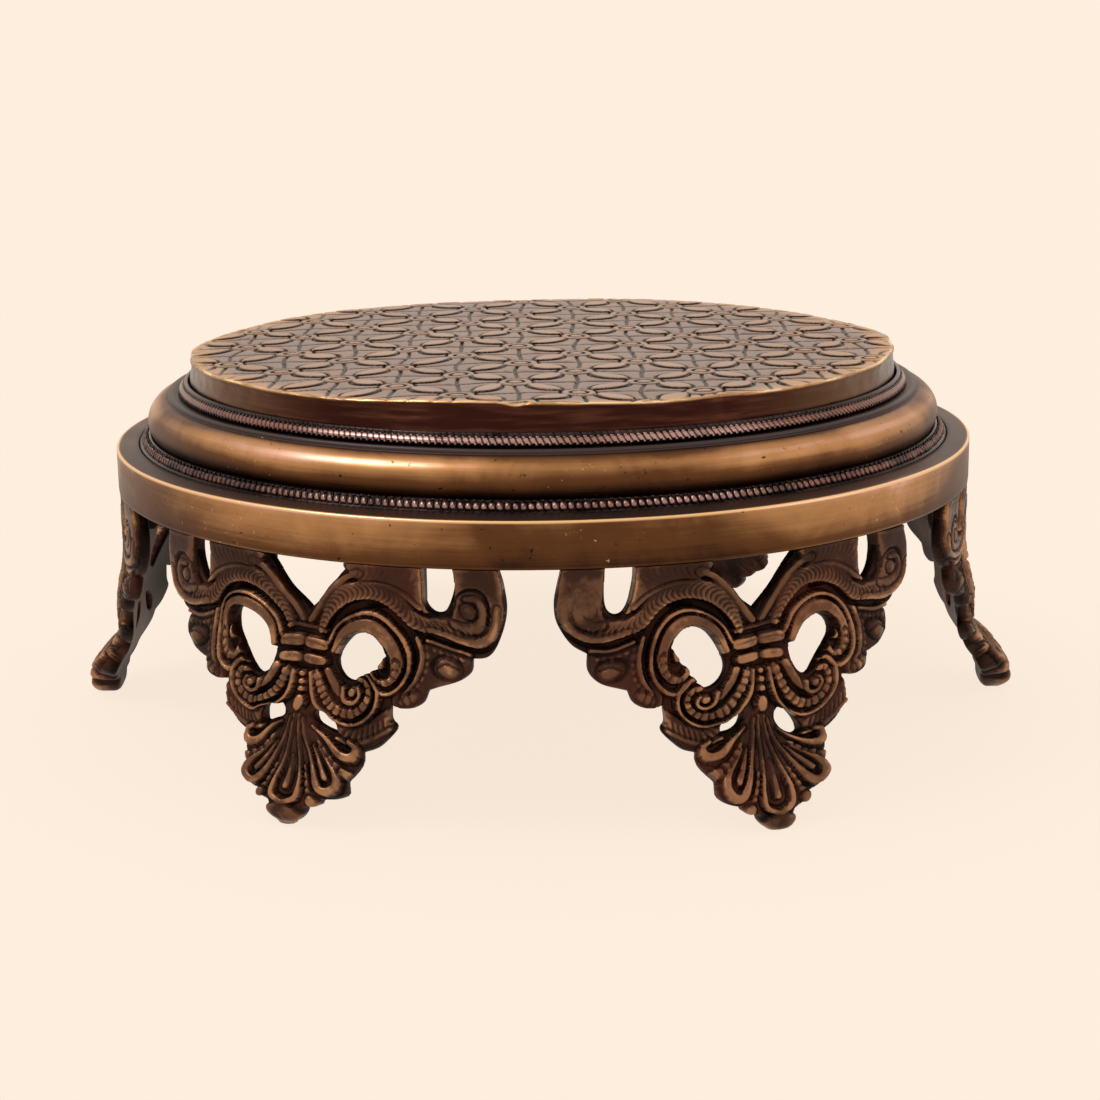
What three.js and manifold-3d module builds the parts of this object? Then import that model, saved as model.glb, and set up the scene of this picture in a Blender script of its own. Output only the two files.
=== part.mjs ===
// A cast brass bajot: a round, low table with an engraved top, a stepped moulding and six
// openwork legs that end in turned-out toes. Millimetres, +Z up, the floor at z = 0 and the
// table's own axis on the Z axis.

import * as THREE from "three";
import { mergeVertices } from "three/addons/utils/BufferGeometryUtils.js";
import { TessellateModifier } from "three/addons/modifiers/TessellateModifier.js";
import Module from "manifold-3d";

const wasm = await Module();
wasm.setup();

// Driving dimensions: the apron, the band that the legs hang from
const APRON_RADIUS = 153;
const APRON_BAND = 15.2;
const APRON_WALL = 8;
const LEDGE_RISE = 0.9;
const LEDGE_STEP = 0.8;
const LEDGE_WIDTH = 8;
const FLANGE_THICKNESS = 4.5;

// Driving dimensions: the round moulding that stands on the apron
const ROLL_RADIUS = 8.1;
const ROLL_SETBACK = 19.6;
const ROLL_LIFT = 8.3;
const ROLL_ANGLES = { foot: -46, crown: 86, hollow: 100 };
const MOULDING_HEIGHT = 17.9;
const MOULDING_WALL = 4.5;

// Driving dimensions: the engraved top, whose edge is set back from the roll's centre line
const TOP_SETBACK = 7.4;
const TOP_FLARE = 0.5;
const TOP_DEPTH = 12.2;
const TOP_THICKNESS = 6;
const SKIRT_WALL = 7;

// Driving dimensions: the top's engraving, a square grid of lines with a ring at every other
// crossing and a raised leaf from each ring to the next, laid by hand a little askew
const LINE_SPACING = 20;
const LINE_DEPTH = 0.8;
const ENGRAVED_RING_RADIUS = 5.9;
const LEAF_TIP_GAP = 0.3;
const LEAF_WIDTH = 9.2;
const LEAF_RISE = 0.6;
const LEAF_CROWN_SHARE = 0.75;
const ENGRAVING_MARGIN = 4;
const FIRST_RING = { across: -8, back: -3 };
const SAG_START = -20;
const SAG_SHARE = 0.17;
const ENGRAVING_TURN = 2;

// Driving dimensions: the milled strips that cover the two seams
const UPPER_STRIP_WIDTH = 4.4;
const UPPER_STRIP_HEIGHT = 3.7;
const LOWER_STRIP_HEIGHT = 3.8;
const STRIP_SHOULDER_SHARE = 0.25;

// Driving dimensions: a leg, and the gaps left between the legs along the apron
const LEG_HEIGHT = 83.9;
const LEG_THICKNESS = 6.4;
const FOOT_THICKNESS = 9.5;
const FOOT_KICK = 15;
const FRONT_LEG_GAP = 13.9;
const SIDE_LEG_GAP = 33.9;

// Driving dimensions: the fixings
const LUG_WIDTH = 16;
const LUG_THICKNESS = 4.4;
const LUG_HEADROOM = 1.2;
const LUG_ROOT = 14;
const SCREW_DIAMETER = 4;
const SCREW_HEAD_DIAMETER = 7;
const SCREW_HEAD_HEIGHT = 2.6;
const SCREW_BITE = 5;
const TOP_SCREW_BITE = 6.5;
const TOP_SCREW_COUNT = 6;

// Running clearances, and how far a cutter runs past what it cuts
const CLEARANCE = 0.35;
const OVERRUN = 1;

// Facets
const RING_SIDES = 60;
const SCREW_SIDES = 12;
const ROLL_STEPS = 6;
const HOLLOW_STEPS = 4;
const LEG_FACET = 18;
const LEG_SPLITS = 16;
const ENGRAVED_RING_SIDES = 8;
const LEAF_SIDES = 6;
const V_CUT_SIDES = 4;

// Heights of the stack, from the floor
const APRON_RIM = LEG_HEIGHT + APRON_BAND;
const LEDGE_TOP = APRON_RIM + LEDGE_RISE;
const APRON_SEAT = LEDGE_TOP - LEDGE_STEP;
const FLANGE_UNDERSIDE = APRON_SEAT - FLANGE_THICKNESS;
const MOULDING_SEAT = APRON_SEAT + MOULDING_HEIGHT;
const TABLE_HEIGHT = MOULDING_SEAT + TOP_DEPTH;

// Radii that the rings share
const APRON_INNER = APRON_RADIUS - APRON_WALL;
const LEDGE_INNER = APRON_RADIUS - LEDGE_WIDTH;
const ROLL_CENTRE = APRON_RADIUS - ROLL_SETBACK;
const TOP_RADIUS = ROLL_CENTRE - TOP_SETBACK;
const SKIRT_OUTER = TOP_RADIUS + TOP_FLARE;
const SKIRT_INNER = SKIRT_OUTER - SKIRT_WALL;
const TOP_SCREW_CIRCLE = (SKIRT_OUTER + SKIRT_INNER) / 2;
const FLANGE_INNER = TOP_SCREW_CIRCLE - SCREW_HEAD_DIAMETER;
const ROLL_FOOT = ROLL_CENTRE + ROLL_RADIUS * Math.cos(THREE.MathUtils.degToRad(ROLL_ANGLES.foot));

// Three legs and their gaps fill each half of the apron's circumference, the side pair square to the front
const LEGS_PER_HALF = 3;
const LEG_WIDTH = (Math.PI * APRON_RADIUS - FRONT_LEG_GAP - 2 * SIDE_LEG_GAP) / LEGS_PER_HALF;
const LEG_HALF_WIDTH = LEG_WIDTH / 2;
const azimuthAlong = (arcLength) => THREE.MathUtils.radToDeg(arcLength / APRON_RADIUS);
const FRONT_AZIMUTH = azimuthAlong(LEG_HALF_WIDTH + FRONT_LEG_GAP / 2);
const SIDE_AZIMUTH = FRONT_AZIMUTH + azimuthAlong(LEG_WIDTH + SIDE_LEG_GAP);
const REAR_AZIMUTH = 2 * SIDE_AZIMUTH - FRONT_AZIMUTH;
const LEG_AZIMUTHS = { front: FRONT_AZIMUTH, side: SIDE_AZIMUTH, rear: REAR_AZIMUTH };

const brass = (color, roughness) => new THREE.MeshStandardMaterial({ color, roughness, metalness: 1 });
const GREYED_BRASS = brass(0x96785f, 0.45);
const GOLDEN_BRASS = brass(0x94673a, 0.32);
const DARK_BRASS = brass(0x553726, 0.5);
const COPPERY_BRASS = brass(0x6b4a3c, 0.45);
const STEEL = brass(0x77787a, 0.4);

// Solids from geometries and back

function asSolid(geometry) {
  const bare = geometry.clone();
  bare.deleteAttribute("normal");
  bare.deleteAttribute("uv");
  const merged = mergeVertices(bare);
  return new wasm.Manifold(new wasm.Mesh({
    numProp: 3,
    vertProperties: merged.attributes.position.array,
    triVerts: Uint32Array.from(merged.index.array),
  }));
}

function asGeometry(solid) {
  const mesh = solid.getMesh();
  const geometry = new THREE.BufferGeometry();
  geometry.setAttribute("position", new THREE.Float32BufferAttribute(mesh.vertProperties, 3));
  geometry.setIndex(new THREE.Uint32BufferAttribute(mesh.triVerts, 1));
  geometry.computeVertexNormals();
  return geometry;
}

function withHoles(geometry, cutters) {
  const cut = cutters.reduce((solid, cutter) => solid.subtract(asSolid(cutter)), asSolid(geometry));
  return asGeometry(cut);
}

function named(name, geometry, material) {
  const mesh = new THREE.Mesh(geometry, material);
  mesh.name = name;
  return mesh;
}

// A solid turned about the Z axis from [radius, height] points, anticlockwise. An outline that
// starts and ends on the axis is a disc or a pin, and any other one closes into a ring.
function turned(outline, sides = RING_SIDES) {
  const onAxis = outline[0][0] === 0 && outline.at(-1)[0] === 0;
  const closed = onAxis ? outline : [...outline, outline[0]];
  const points = closed.map(([radius, height]) => new THREE.Vector2(radius, height));
  return new THREE.LatheGeometry(points, sides).rotateX(Math.PI / 2);
}

// Points of an arc about [radius, height], from one angle in degrees to another
function arc([centreRadius, centreHeight], size, from, to, steps) {
  return Array.from({ length: steps + 1 }, (_, i) => {
    const angle = THREE.MathUtils.degToRad(from + ((to - from) * i) / steps);
    return [centreRadius + size * Math.cos(angle), centreHeight + size * Math.sin(angle)];
  });
}

// An upright cylinder, for a drilled hole
function upright(diameter, from, to, radius, azimuth) {
  const geometry = new THREE.CylinderGeometry(diameter / 2, diameter / 2, to - from, SCREW_SIDES);
  geometry.rotateX(Math.PI / 2).translate(radius, 0, (from + to) / 2);
  return geometry.rotateZ(azimuth);
}

// Azimuths are measured from the front, -Y, towards +X; a radial part is first made along +X
const turnTo = (azimuth) => THREE.MathUtils.degToRad(azimuth - 90);

// The stretch of the leg's top edge that meets the apron, as shares of the half width
const TAB_SHARES = { inner: 0.24, outer: 0.609 };

// Where the leg screws go: behind the middle of each tab, through the lug and into the apron wall
const LUG_SHIFT = (LEG_HALF_WIDTH * (TAB_SHARES.inner + TAB_SHARES.outer)) / 2;
const LUG_REACH = FLANGE_UNDERSIDE - LUG_HEADROOM - LEG_HEIGHT;
const LEG_SCREW_HEIGHT = LEG_HEIGHT + LUG_REACH / 2;
const APRON_FACET = APRON_INNER * Math.cos(Math.PI / RING_SIDES);
const LUG_FACE_RADIUS = APRON_FACET - CLEARANCE;
const LUG_ANGLE = LUG_SHIFT / APRON_INNER;
const LUG_OUTER = Math.sqrt(LUG_FACE_RADIUS ** 2 - (LUG_WIDTH / 2) ** 2);
const LUG_INNER = LUG_OUTER - LUG_THICKNESS;
const LEG_SCREW_TIP = APRON_FACET + SCREW_BITE;

const legs = Object.entries(LEG_AZIMUTHS).flatMap(([place, azimuth]) => [
  { name: `${place}_left_leg`, azimuth: -azimuth },
  { name: `${place}_right_leg`, azimuth },
]);

const lugTurns = (leg) => [-LUG_ANGLE, LUG_ANGLE].map((shift) => turnTo(leg.azimuth) + shift);
const topScrewTurns = Array.from({ length: TOP_SCREW_COUNT }, (_, i) => turnTo((360 * i) / TOP_SCREW_COUNT));
const holeFor = (diameter) => diameter + 2 * CLEARANCE;

// The apron: an upright band with a ledge on top and a flange inside that carries the moulding
function apronRing() {
  const outline = [
    [APRON_INNER, LEG_HEIGHT],
    [APRON_RADIUS, LEG_HEIGHT],
    [APRON_RADIUS, APRON_RIM],
    [LEDGE_INNER, LEDGE_TOP],
    [LEDGE_INNER, APRON_SEAT],
    [FLANGE_INNER, APRON_SEAT],
    [FLANGE_INNER, FLANGE_UNDERSIDE],
    [APRON_INNER, FLANGE_UNDERSIDE],
  ];
  const drilled = topScrewTurns.map((turn) => upright(holeFor(SCREW_DIAMETER),
    FLANGE_UNDERSIDE - OVERRUN, APRON_SEAT + OVERRUN, TOP_SCREW_CIRCLE, turn));
  const blind = legs.flatMap(lugTurns).map((turn) => {
    const from = APRON_FACET - OVERRUN;
    const length = LEG_SCREW_TIP + CLEARANCE - from;
    const radius = holeFor(SCREW_DIAMETER) / 2;
    const geometry = new THREE.CylinderGeometry(radius, radius, length, SCREW_SIDES);
    return geometry.rotateZ(Math.PI / 2).translate(from + length / 2, 0, LEG_SCREW_HEIGHT).rotateZ(turn);
  });
  return withHoles(turned(outline), [...drilled, ...blind]);
}

// The round moulding: a hollow roll on a foot, with a flange on top that carries the table top
function mouldingRing() {
  const centre = [ROLL_CENTRE, APRON_SEAT + ROLL_LIFT];
  const hollow = ROLL_RADIUS - MOULDING_WALL;
  const hollowFoot = ROLL_FOOT - MOULDING_WALL;
  const lip = (SKIRT_OUTER + UPPER_STRIP_WIDTH + ROLL_CENTRE) / 2;
  const outline = [
    [hollowFoot, APRON_SEAT],
    [ROLL_FOOT, APRON_SEAT],
    ...arc(centre, ROLL_RADIUS, ROLL_ANGLES.foot, ROLL_ANGLES.crown, ROLL_STEPS),
    [lip, MOULDING_SEAT],
    [FLANGE_INNER, MOULDING_SEAT],
    [FLANGE_INNER, MOULDING_SEAT - MOULDING_WALL],
    ...arc(centre, hollow, ROLL_ANGLES.hollow, ROLL_ANGLES.foot, HOLLOW_STEPS),
  ];
  const drilled = topScrewTurns.map((turn) => upright(holeFor(SCREW_DIAMETER),
    MOULDING_SEAT - MOULDING_WALL - OVERRUN, MOULDING_SEAT + OVERRUN, TOP_SCREW_CIRCLE, turn));
  return withHoles(turned(outline), drilled);
}

const LEAF_LENGTH = Math.SQRT2 * LINE_SPACING - 2 * (ENGRAVED_RING_RADIUS + LEAF_TIP_GAP);
const ENGRAVED_RADIUS = TOP_RADIUS - ENGRAVING_MARGIN;

// Where two lines of the engraving cross. The rows sag towards the front on the table's left.
function crossing(column, row) {
  const across = FIRST_RING.across + LINE_SPACING * column;
  const back = FIRST_RING.back + LINE_SPACING * row;
  return new THREE.Vector2(across, back - SAG_SHARE * Math.max(0, SAG_START - across));
}

// A V-shaped bar that cuts one straight line of the engraving
function lineCutter(from, to) {
  const side = Math.SQRT2 * LINE_DEPTH;
  const run = to.clone().sub(from);
  const middle = from.clone().add(to).divideScalar(2);
  const bar = new THREE.BoxGeometry(run.length(), side, side).rotateX(Math.PI / V_CUT_SIDES);
  return bar.rotateZ(run.angle()).translate(middle.x, middle.y, TABLE_HEIGHT);
}

// The point where a line from a start inside the engraved circle leaves it
function toMargin(start, direction) {
  const along = start.dot(direction);
  const distance = Math.sqrt(along ** 2 - start.lengthSq() + ENGRAVED_RADIUS ** 2) - along;
  return start.clone().addScaledVector(direction, distance);
}

// Both ways of lines, each cut from edge to edge of the engraved circle
function engravedLines(numbers) {
  const [left, right, front, back] = [[-1, -SAG_SHARE], [1, 0], [0, -1], [0, 1]]
    .map(([x, y]) => new THREE.Vector2(x, y).normalize());
  const inside = (start) => start.length() < ENGRAVED_RADIUS;
  const columns = numbers.map((column) => new THREE.Vector2(crossing(column, 0).x, 0))
    .filter(inside)
    .map((start) => lineCutter(toMargin(start, front), toMargin(start, back)));
  const rows = numbers.map((row) => new THREE.Vector2(SAG_START, crossing(0, row).y))
    .filter(inside)
    .flatMap((start) => [left, right].map((way) => lineCutter(start, toMargin(start, way))));
  return [...columns, ...rows];
}

// A groove round one crossing, and the disc inside it that the lines leave out
const ringCutter = (place) => new THREE
  .TorusGeometry(ENGRAVED_RING_RADIUS, LINE_DEPTH, V_CUT_SIDES, ENGRAVED_RING_SIDES)
  .translate(place.x, place.y, TABLE_HEIGHT);
const ringDisc = (place) => new THREE
  .CylinderGeometry(ENGRAVED_RING_RADIUS, ENGRAVED_RING_RADIUS, 2 * LINE_DEPTH, ENGRAVED_RING_SIDES)
  .rotateX(Math.PI / 2).translate(place.x, place.y, TABLE_HEIGHT - LINE_DEPTH);

// A raised leaf on the diagonal between two rings, flat on top, with its points towards the rings
function leafBetween(ring, next) {
  const middle = ring.clone().add(next).divideScalar(2);
  const outline = [[0, -LEAF_RISE], [1, -LEAF_RISE], [1, 0], [LEAF_CROWN_SHARE, LEAF_RISE], [0, LEAF_RISE]];
  return turned(outline, LEAF_SIDES).rotateZ(Math.PI / 2)
    .scale(LEAF_LENGTH / 2, LEAF_WIDTH / 2, 1)
    .rotateZ(next.clone().sub(ring).angle())
    .translate(middle.x, middle.y, TABLE_HEIGHT);
}

// Cuts the engraving into the plate and raises its leaves. Rows are numbered past the circle,
// since they sag on the left.
function engraved(plate) {
  const reach = Math.ceil((ENGRAVED_RADIUS * (1 + SAG_SHARE)) / LINE_SPACING);
  const numbers = Array.from({ length: 2 * reach + 1 }, (_, i) => i - reach);
  const lies = (place, size) => place.length() + size < ENGRAVED_RADIUS;
  const places = numbers.flatMap((column) => numbers
    .filter((row) => (row + column) % 2 === 0)
    .map((row) => ({ column, row })));
  const rings = places.map(({ column, row }) => crossing(column, row))
    .filter((place) => lies(place, ENGRAVED_RING_RADIUS + LINE_DEPTH));
  const leaves = places
    .flatMap(({ column, row }) => [-1, 1]
      .map((way) => [crossing(column, row), crossing(column + 1, row + way)]))
    .filter(([ring, next]) => lies(ring.clone().add(next).divideScalar(2), LEAF_LENGTH / 2))
    .map(([ring, next]) => leafBetween(ring, next));
  const turn = THREE.MathUtils.degToRad(ENGRAVING_TURN);
  const joined = (shapes) => shapes.map((shape) => asSolid(shape.rotateZ(turn)))
    .reduce((all, solid) => all.add(solid));
  const lines = joined(engravedLines(numbers)).subtract(joined(rings.map(ringDisc)));
  return plate.subtract(lines.add(joined(rings.map(ringCutter)))).add(joined(leaves));
}

// The top: an engraved disc with a turned-down skirt, drilled from below for the screws that hold it
function topPlate() {
  const outline = [
    [0, TABLE_HEIGHT - TOP_THICKNESS],
    [SKIRT_INNER, TABLE_HEIGHT - TOP_THICKNESS],
    [SKIRT_INNER, MOULDING_SEAT],
    [SKIRT_OUTER, MOULDING_SEAT],
    [TOP_RADIUS, TABLE_HEIGHT],
    [0, TABLE_HEIGHT],
  ];
  const blind = topScrewTurns.map((turn) => upright(holeFor(SCREW_DIAMETER),
    MOULDING_SEAT - OVERRUN, MOULDING_SEAT + TOP_SCREW_BITE + CLEARANCE, TOP_SCREW_CIRCLE, turn));
  return asGeometry(engraved(asSolid(withHoles(turned(outline), blind))));
}

// The upper strip covers the seam between the skirt and the moulding
function upperStrip() {
  const inner = SKIRT_OUTER + CLEARANCE;
  const outer = SKIRT_OUTER + UPPER_STRIP_WIDTH;
  const crest = MOULDING_SEAT + UPPER_STRIP_HEIGHT;
  const shoulder = UPPER_STRIP_HEIGHT * STRIP_SHOULDER_SHARE;
  return turned([
    [inner, MOULDING_SEAT],
    [outer, MOULDING_SEAT],
    [outer, MOULDING_SEAT + shoulder],
    [(inner + outer) / 2, crest - shoulder],
    [inner, crest],
  ]);
}

// The lower strip lies in the corner between the foot of the roll and the ledge
function lowerStrip() {
  const centre = [ROLL_CENTRE, APRON_SEAT + ROLL_LIFT];
  const reach = ROLL_RADIUS + CLEARANCE;
  const crest = APRON_SEAT + LOWER_STRIP_HEIGHT;
  const crestAngle = THREE.MathUtils.radToDeg(Math.asin((crest - centre[1]) / reach));
  const alongRoll = arc(centre, reach, crestAngle, ROLL_ANGLES.foot, HOLLOW_STEPS / 2);
  const crestInner = alongRoll[0][0];
  const outer = LEDGE_INNER - CLEARANCE;
  const crestEdge = THREE.MathUtils.lerp(crestInner, outer, STRIP_SHOULDER_SHARE);
  return turned([
    [ROLL_FOOT + CLEARANCE, APRON_SEAT],
    [outer, APRON_SEAT],
    [outer, LEDGE_TOP],
    [crestEdge, crest],
    ...alongRoll,
  ]);
}

// The leg's side profile, down the outer face: upright, leaning out a little, then the turned-out toe
const PROFILE_SHARES = {
  tab: 0.8, lean: 0.27, belly: 0.62, ankle: 0.4, instep: 0.24, arch: 0.22, toe: 0.06,
};

function legProfile() {
  const s = PROFILE_SHARES;
  const at = (kick, height) => [APRON_RADIUS + FOOT_KICK * kick, LEG_HEIGHT * height];
  const path = new THREE.Path();
  path.moveTo(...at(0, 1));
  path.lineTo(...at(0, s.tab));
  path.bezierCurveTo(...at(0, s.belly), ...at(s.lean, s.belly), ...at(s.lean, s.ankle));
  path.bezierCurveTo(...at(s.lean, s.instep), ...at(1, s.arch), ...at(1, s.toe));
  path.lineTo(...at(1, 0));
  return path;
}

// Half of the leg's outline, laid flat: across as shares of the half width, down as shares of the drop
const OUTLINE_SHARES = [
  [0, 0.195], [0.09, 0.132], [0.158, 0.075], [TAB_SHARES.inner, 0],
  [TAB_SHARES.outer, 0], [0.614, 0.069], [0.632, 0.132], [0.669, 0.17],
  [0.714, 0.17], [0.752, 0.132], [0.764, 0.069], [0.756, 0],
  [0.967, 0], [0.992, 0.069], [1, 0.138], [0.977, 0.207], [0.91, 0.27],
  [0.827, 0.299], [0.832, 0.356], [0.782, 0.402], [0.684, 0.431],
  [0.647, 0.448], [0.621, 0.494], [0.549, 0.517], [0.474, 0.506],
  [0.474, 0.569], [0.481, 0.609], [0.414, 0.649],
  [0.323, 0.667], [0.308, 0.718], [0.271, 0.759], [0.271, 0.816], [0.233, 0.856],
  [0.173, 0.874], [0.15, 0.908], [0.105, 0.925], [0.087, 0.971], [0.06, 1],
];
const EYE_SHARES = [
  [0.195, 0.316], [0.256, 0.256], [0.346, 0.241], [0.426, 0.276], [0.444, 0.322],
  [0.391, 0.362], [0.316, 0.414], [0.256, 0.448], [0.2, 0.431], [0.173, 0.379],
];
const PIERCING_SHARES = [
  [0.087, 0.569], [0.135, 0.561], [0.195, 0.603], [0.21, 0.653], [0.15, 0.662], [0.095, 0.623],
];

function legShape(drop) {
  const place = (side) => ([across, down]) => new THREE.Vector2(side * across * LEG_HALF_WIDTH, -down * drop);
  const leftHalf = OUTLINE_SHARES.map(place(-1));
  const rightHalf = OUTLINE_SHARES.slice(1).reverse().map(place(1));
  const shape = new THREE.Shape([...leftHalf, ...rightHalf]);
  for (const side of [-1, 1]) {
    shape.holes.push(new THREE.Path(EYE_SHARES.map(place(side))));
    shape.holes.push(new THREE.Path(PIERCING_SHARES.map(place(side))));
  }
  return shape;
}

// Bends the flat plate, which lies in XY with its face towards +Z, round the apron and down the profile
function bendOntoTable(geometry, profile, drop) {
  const position = geometry.attributes.position;
  for (let i = 0; i < position.count; i += 1) {
    const down = THREE.MathUtils.clamp(-position.getY(i) / drop, 0, 1);
    const outer = profile.getPoint(down);
    const tangent = profile.getTangent(down);
    const footShare = THREE.MathUtils.smoothstep(down, 1 - PROFILE_SHARES.ankle, 1);
    const thickness = THREE.MathUtils.lerp(LEG_THICKNESS, FOOT_THICKNESS, footShare);
    const depth = thickness * (1 - position.getZ(i));
    const radius = outer.x + tangent.y * depth;
    const height = outer.y - tangent.x * depth;
    const angle = position.getX(i) / APRON_RADIUS;
    position.setXYZ(i, radius * Math.cos(angle), radius * Math.sin(angle), height);
  }
  return geometry;
}

// A lug cast on the back of the leg: it reaches up behind the apron wall and takes one screw
function lug() {
  const rootDepth = APRON_RADIUS - LEG_THICKNESS / 2 - LUG_INNER;
  const root = new THREE.BoxGeometry(rootDepth, LUG_WIDTH, LUG_ROOT);
  root.translate(LUG_INNER + rootDepth / 2, 0, LEG_HEIGHT - LUG_ROOT / 2);
  const tongueHeight = LUG_REACH + LUG_ROOT;
  const tongue = new THREE.BoxGeometry(LUG_THICKNESS, LUG_WIDTH, tongueHeight);
  tongue.translate(LUG_OUTER - LUG_THICKNESS / 2, 0, LEG_HEIGHT + LUG_REACH - tongueHeight / 2);
  const radius = holeFor(SCREW_DIAMETER) / 2;
  const bore = new THREE.CylinderGeometry(radius, radius, LUG_THICKNESS + 2 * OVERRUN, SCREW_SIDES);
  bore.rotateZ(Math.PI / 2).translate(LUG_OUTER - LUG_THICKNESS / 2, 0, LEG_SCREW_HEIGHT);
  return asSolid(root).add(asSolid(tongue)).subtract(asSolid(bore));
}

function legGeometry() {
  const profile = legProfile();
  const drop = profile.getLength();
  const plate = new THREE.ExtrudeGeometry(legShape(drop),
    { depth: 1, bevelEnabled: false, curveSegments: 1 });
  const fine = new TessellateModifier(LEG_FACET, LEG_SPLITS).modify(plate);
  let solid = asSolid(bendOntoTable(fine, profile, drop));
  for (const shift of [-LUG_ANGLE, LUG_ANGLE]) {
    solid = solid.add(asSolid(asGeometry(lug()).rotateZ(shift)));
  }
  return asGeometry(solid);
}

// A cheese-headed machine screw along +Z, with its head's seat at z = 0 and its head below
function screwGeometry(length) {
  const head = SCREW_HEAD_DIAMETER / 2;
  const shank = SCREW_DIAMETER / 2;
  return turned([
    [0, -SCREW_HEAD_HEIGHT],
    [head, -SCREW_HEAD_HEIGHT],
    [head, 0],
    [shank, 0],
    [shank, length],
    [0, length],
  ], SCREW_SIDES);
}

const table = new THREE.Group();

table.add(named("top_plate", topPlate(), GREYED_BRASS));
table.add(named("upper_milled_strip", upperStrip(), COPPERY_BRASS));
table.add(named("round_moulding_ring", mouldingRing(), GOLDEN_BRASS));
table.add(named("lower_milled_strip", lowerStrip(), COPPERY_BRASS));
table.add(named("apron_ring", apronRing(), GOLDEN_BRASS));

const legBody = legGeometry();
const legScrew = screwGeometry(LEG_SCREW_TIP - LUG_INNER + CLEARANCE).rotateY(Math.PI / 2);
for (const leg of legs) {
  const place = new THREE.Group();
  place.rotation.z = turnTo(leg.azimuth);
  place.add(named(leg.name, legBody, DARK_BRASS));
  [-LUG_ANGLE, LUG_ANGLE].forEach((shift, i) => {
    const screw = named(`${leg.name}_screw_${i + 1}`, legScrew, STEEL);
    const seat = LUG_INNER - CLEARANCE;
    screw.position.set(seat * Math.cos(shift), seat * Math.sin(shift), LEG_SCREW_HEIGHT);
    screw.rotation.z = shift;
    place.add(screw);
  });
  table.add(place);
}

const topScrew = screwGeometry(MOULDING_SEAT + TOP_SCREW_BITE - FLANGE_UNDERSIDE);
topScrewTurns.forEach((turn, i) => {
  const screw = named(`top_screw_${i + 1}`, topScrew, STEEL);
  screw.position.set(TOP_SCREW_CIRCLE * Math.cos(turn), TOP_SCREW_CIRCLE * Math.sin(turn), FLANGE_UNDERSIDE);
  screw.rotation.z = turn;
  table.add(screw);
});

export default table;
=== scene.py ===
"""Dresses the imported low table: camera, studio, finishes, and the cast, turned and chased brass pieces.

Lengths are in millimetres until a mesh is made, where MM turns them into metres.
"""

from __future__ import annotations

import logging
import math
from dataclasses import dataclass, field, replace
from enum import Enum
from typing import Callable, Iterable, Sequence, Union

import bmesh
import bpy
import numpy as np
from mathutils import Matrix, Vector

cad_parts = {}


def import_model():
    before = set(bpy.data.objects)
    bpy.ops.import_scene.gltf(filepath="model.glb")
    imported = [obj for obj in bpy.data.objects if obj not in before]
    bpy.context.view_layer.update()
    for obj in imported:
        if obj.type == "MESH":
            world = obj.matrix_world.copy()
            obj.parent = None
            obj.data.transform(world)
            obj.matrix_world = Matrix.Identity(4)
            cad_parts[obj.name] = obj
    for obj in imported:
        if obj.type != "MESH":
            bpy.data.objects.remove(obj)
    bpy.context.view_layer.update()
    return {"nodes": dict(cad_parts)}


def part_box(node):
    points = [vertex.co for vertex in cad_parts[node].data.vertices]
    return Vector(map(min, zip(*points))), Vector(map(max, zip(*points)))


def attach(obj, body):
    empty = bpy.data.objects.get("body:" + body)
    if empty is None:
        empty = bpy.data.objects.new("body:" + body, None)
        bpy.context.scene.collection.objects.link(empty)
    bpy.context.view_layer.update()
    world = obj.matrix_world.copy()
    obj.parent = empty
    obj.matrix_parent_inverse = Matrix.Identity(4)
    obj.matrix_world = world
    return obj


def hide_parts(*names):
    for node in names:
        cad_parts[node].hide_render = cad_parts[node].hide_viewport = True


LOG = logging.getLogger("low_table")
MM = 0.001
BODY = "root"
IMAGE_SIDE = 1100
SENSOR_WIDTH = 36.0
CLIPPING = (0.01, 100.0)

Point = tuple[float, float]
Colour = tuple[float, float, float]
Value = Union["Wire", float, tuple]
Paint = Union["Wire", Colour]


def paint(red: float, green: float, blue: float) -> tuple[float, float, float, float]:
    """Turn screen levels from 0 to 255 into Blender's linear colour.

    Args:
        red: Red level.
        green: Green level.
        blue: Blue level.

    Returns:
        Linear red, green, blue and an alpha of 1.
    """
    shares = np.array([red, green, blue]) / 255.0
    linear = np.where(shares <= 0.04045, shares / 12.92, ((shares + 0.055) / 1.055) ** 2.4)
    return (*(float(part) for part in linear), 1.0)


def smooth_step(low: float, high: float, value: np.ndarray) -> np.ndarray:
    """Rise smoothly from 0 at low to 1 at high.

    Args:
        low: Where the rise starts.
        high: Where the rise ends.
        value: Where to evaluate it.

    Returns:
        The share risen, between 0 and 1.
    """
    share = np.clip((value - low) / (high - low), 0.0, 1.0)
    return share * share * (3.0 - 2.0 * share)


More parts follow.
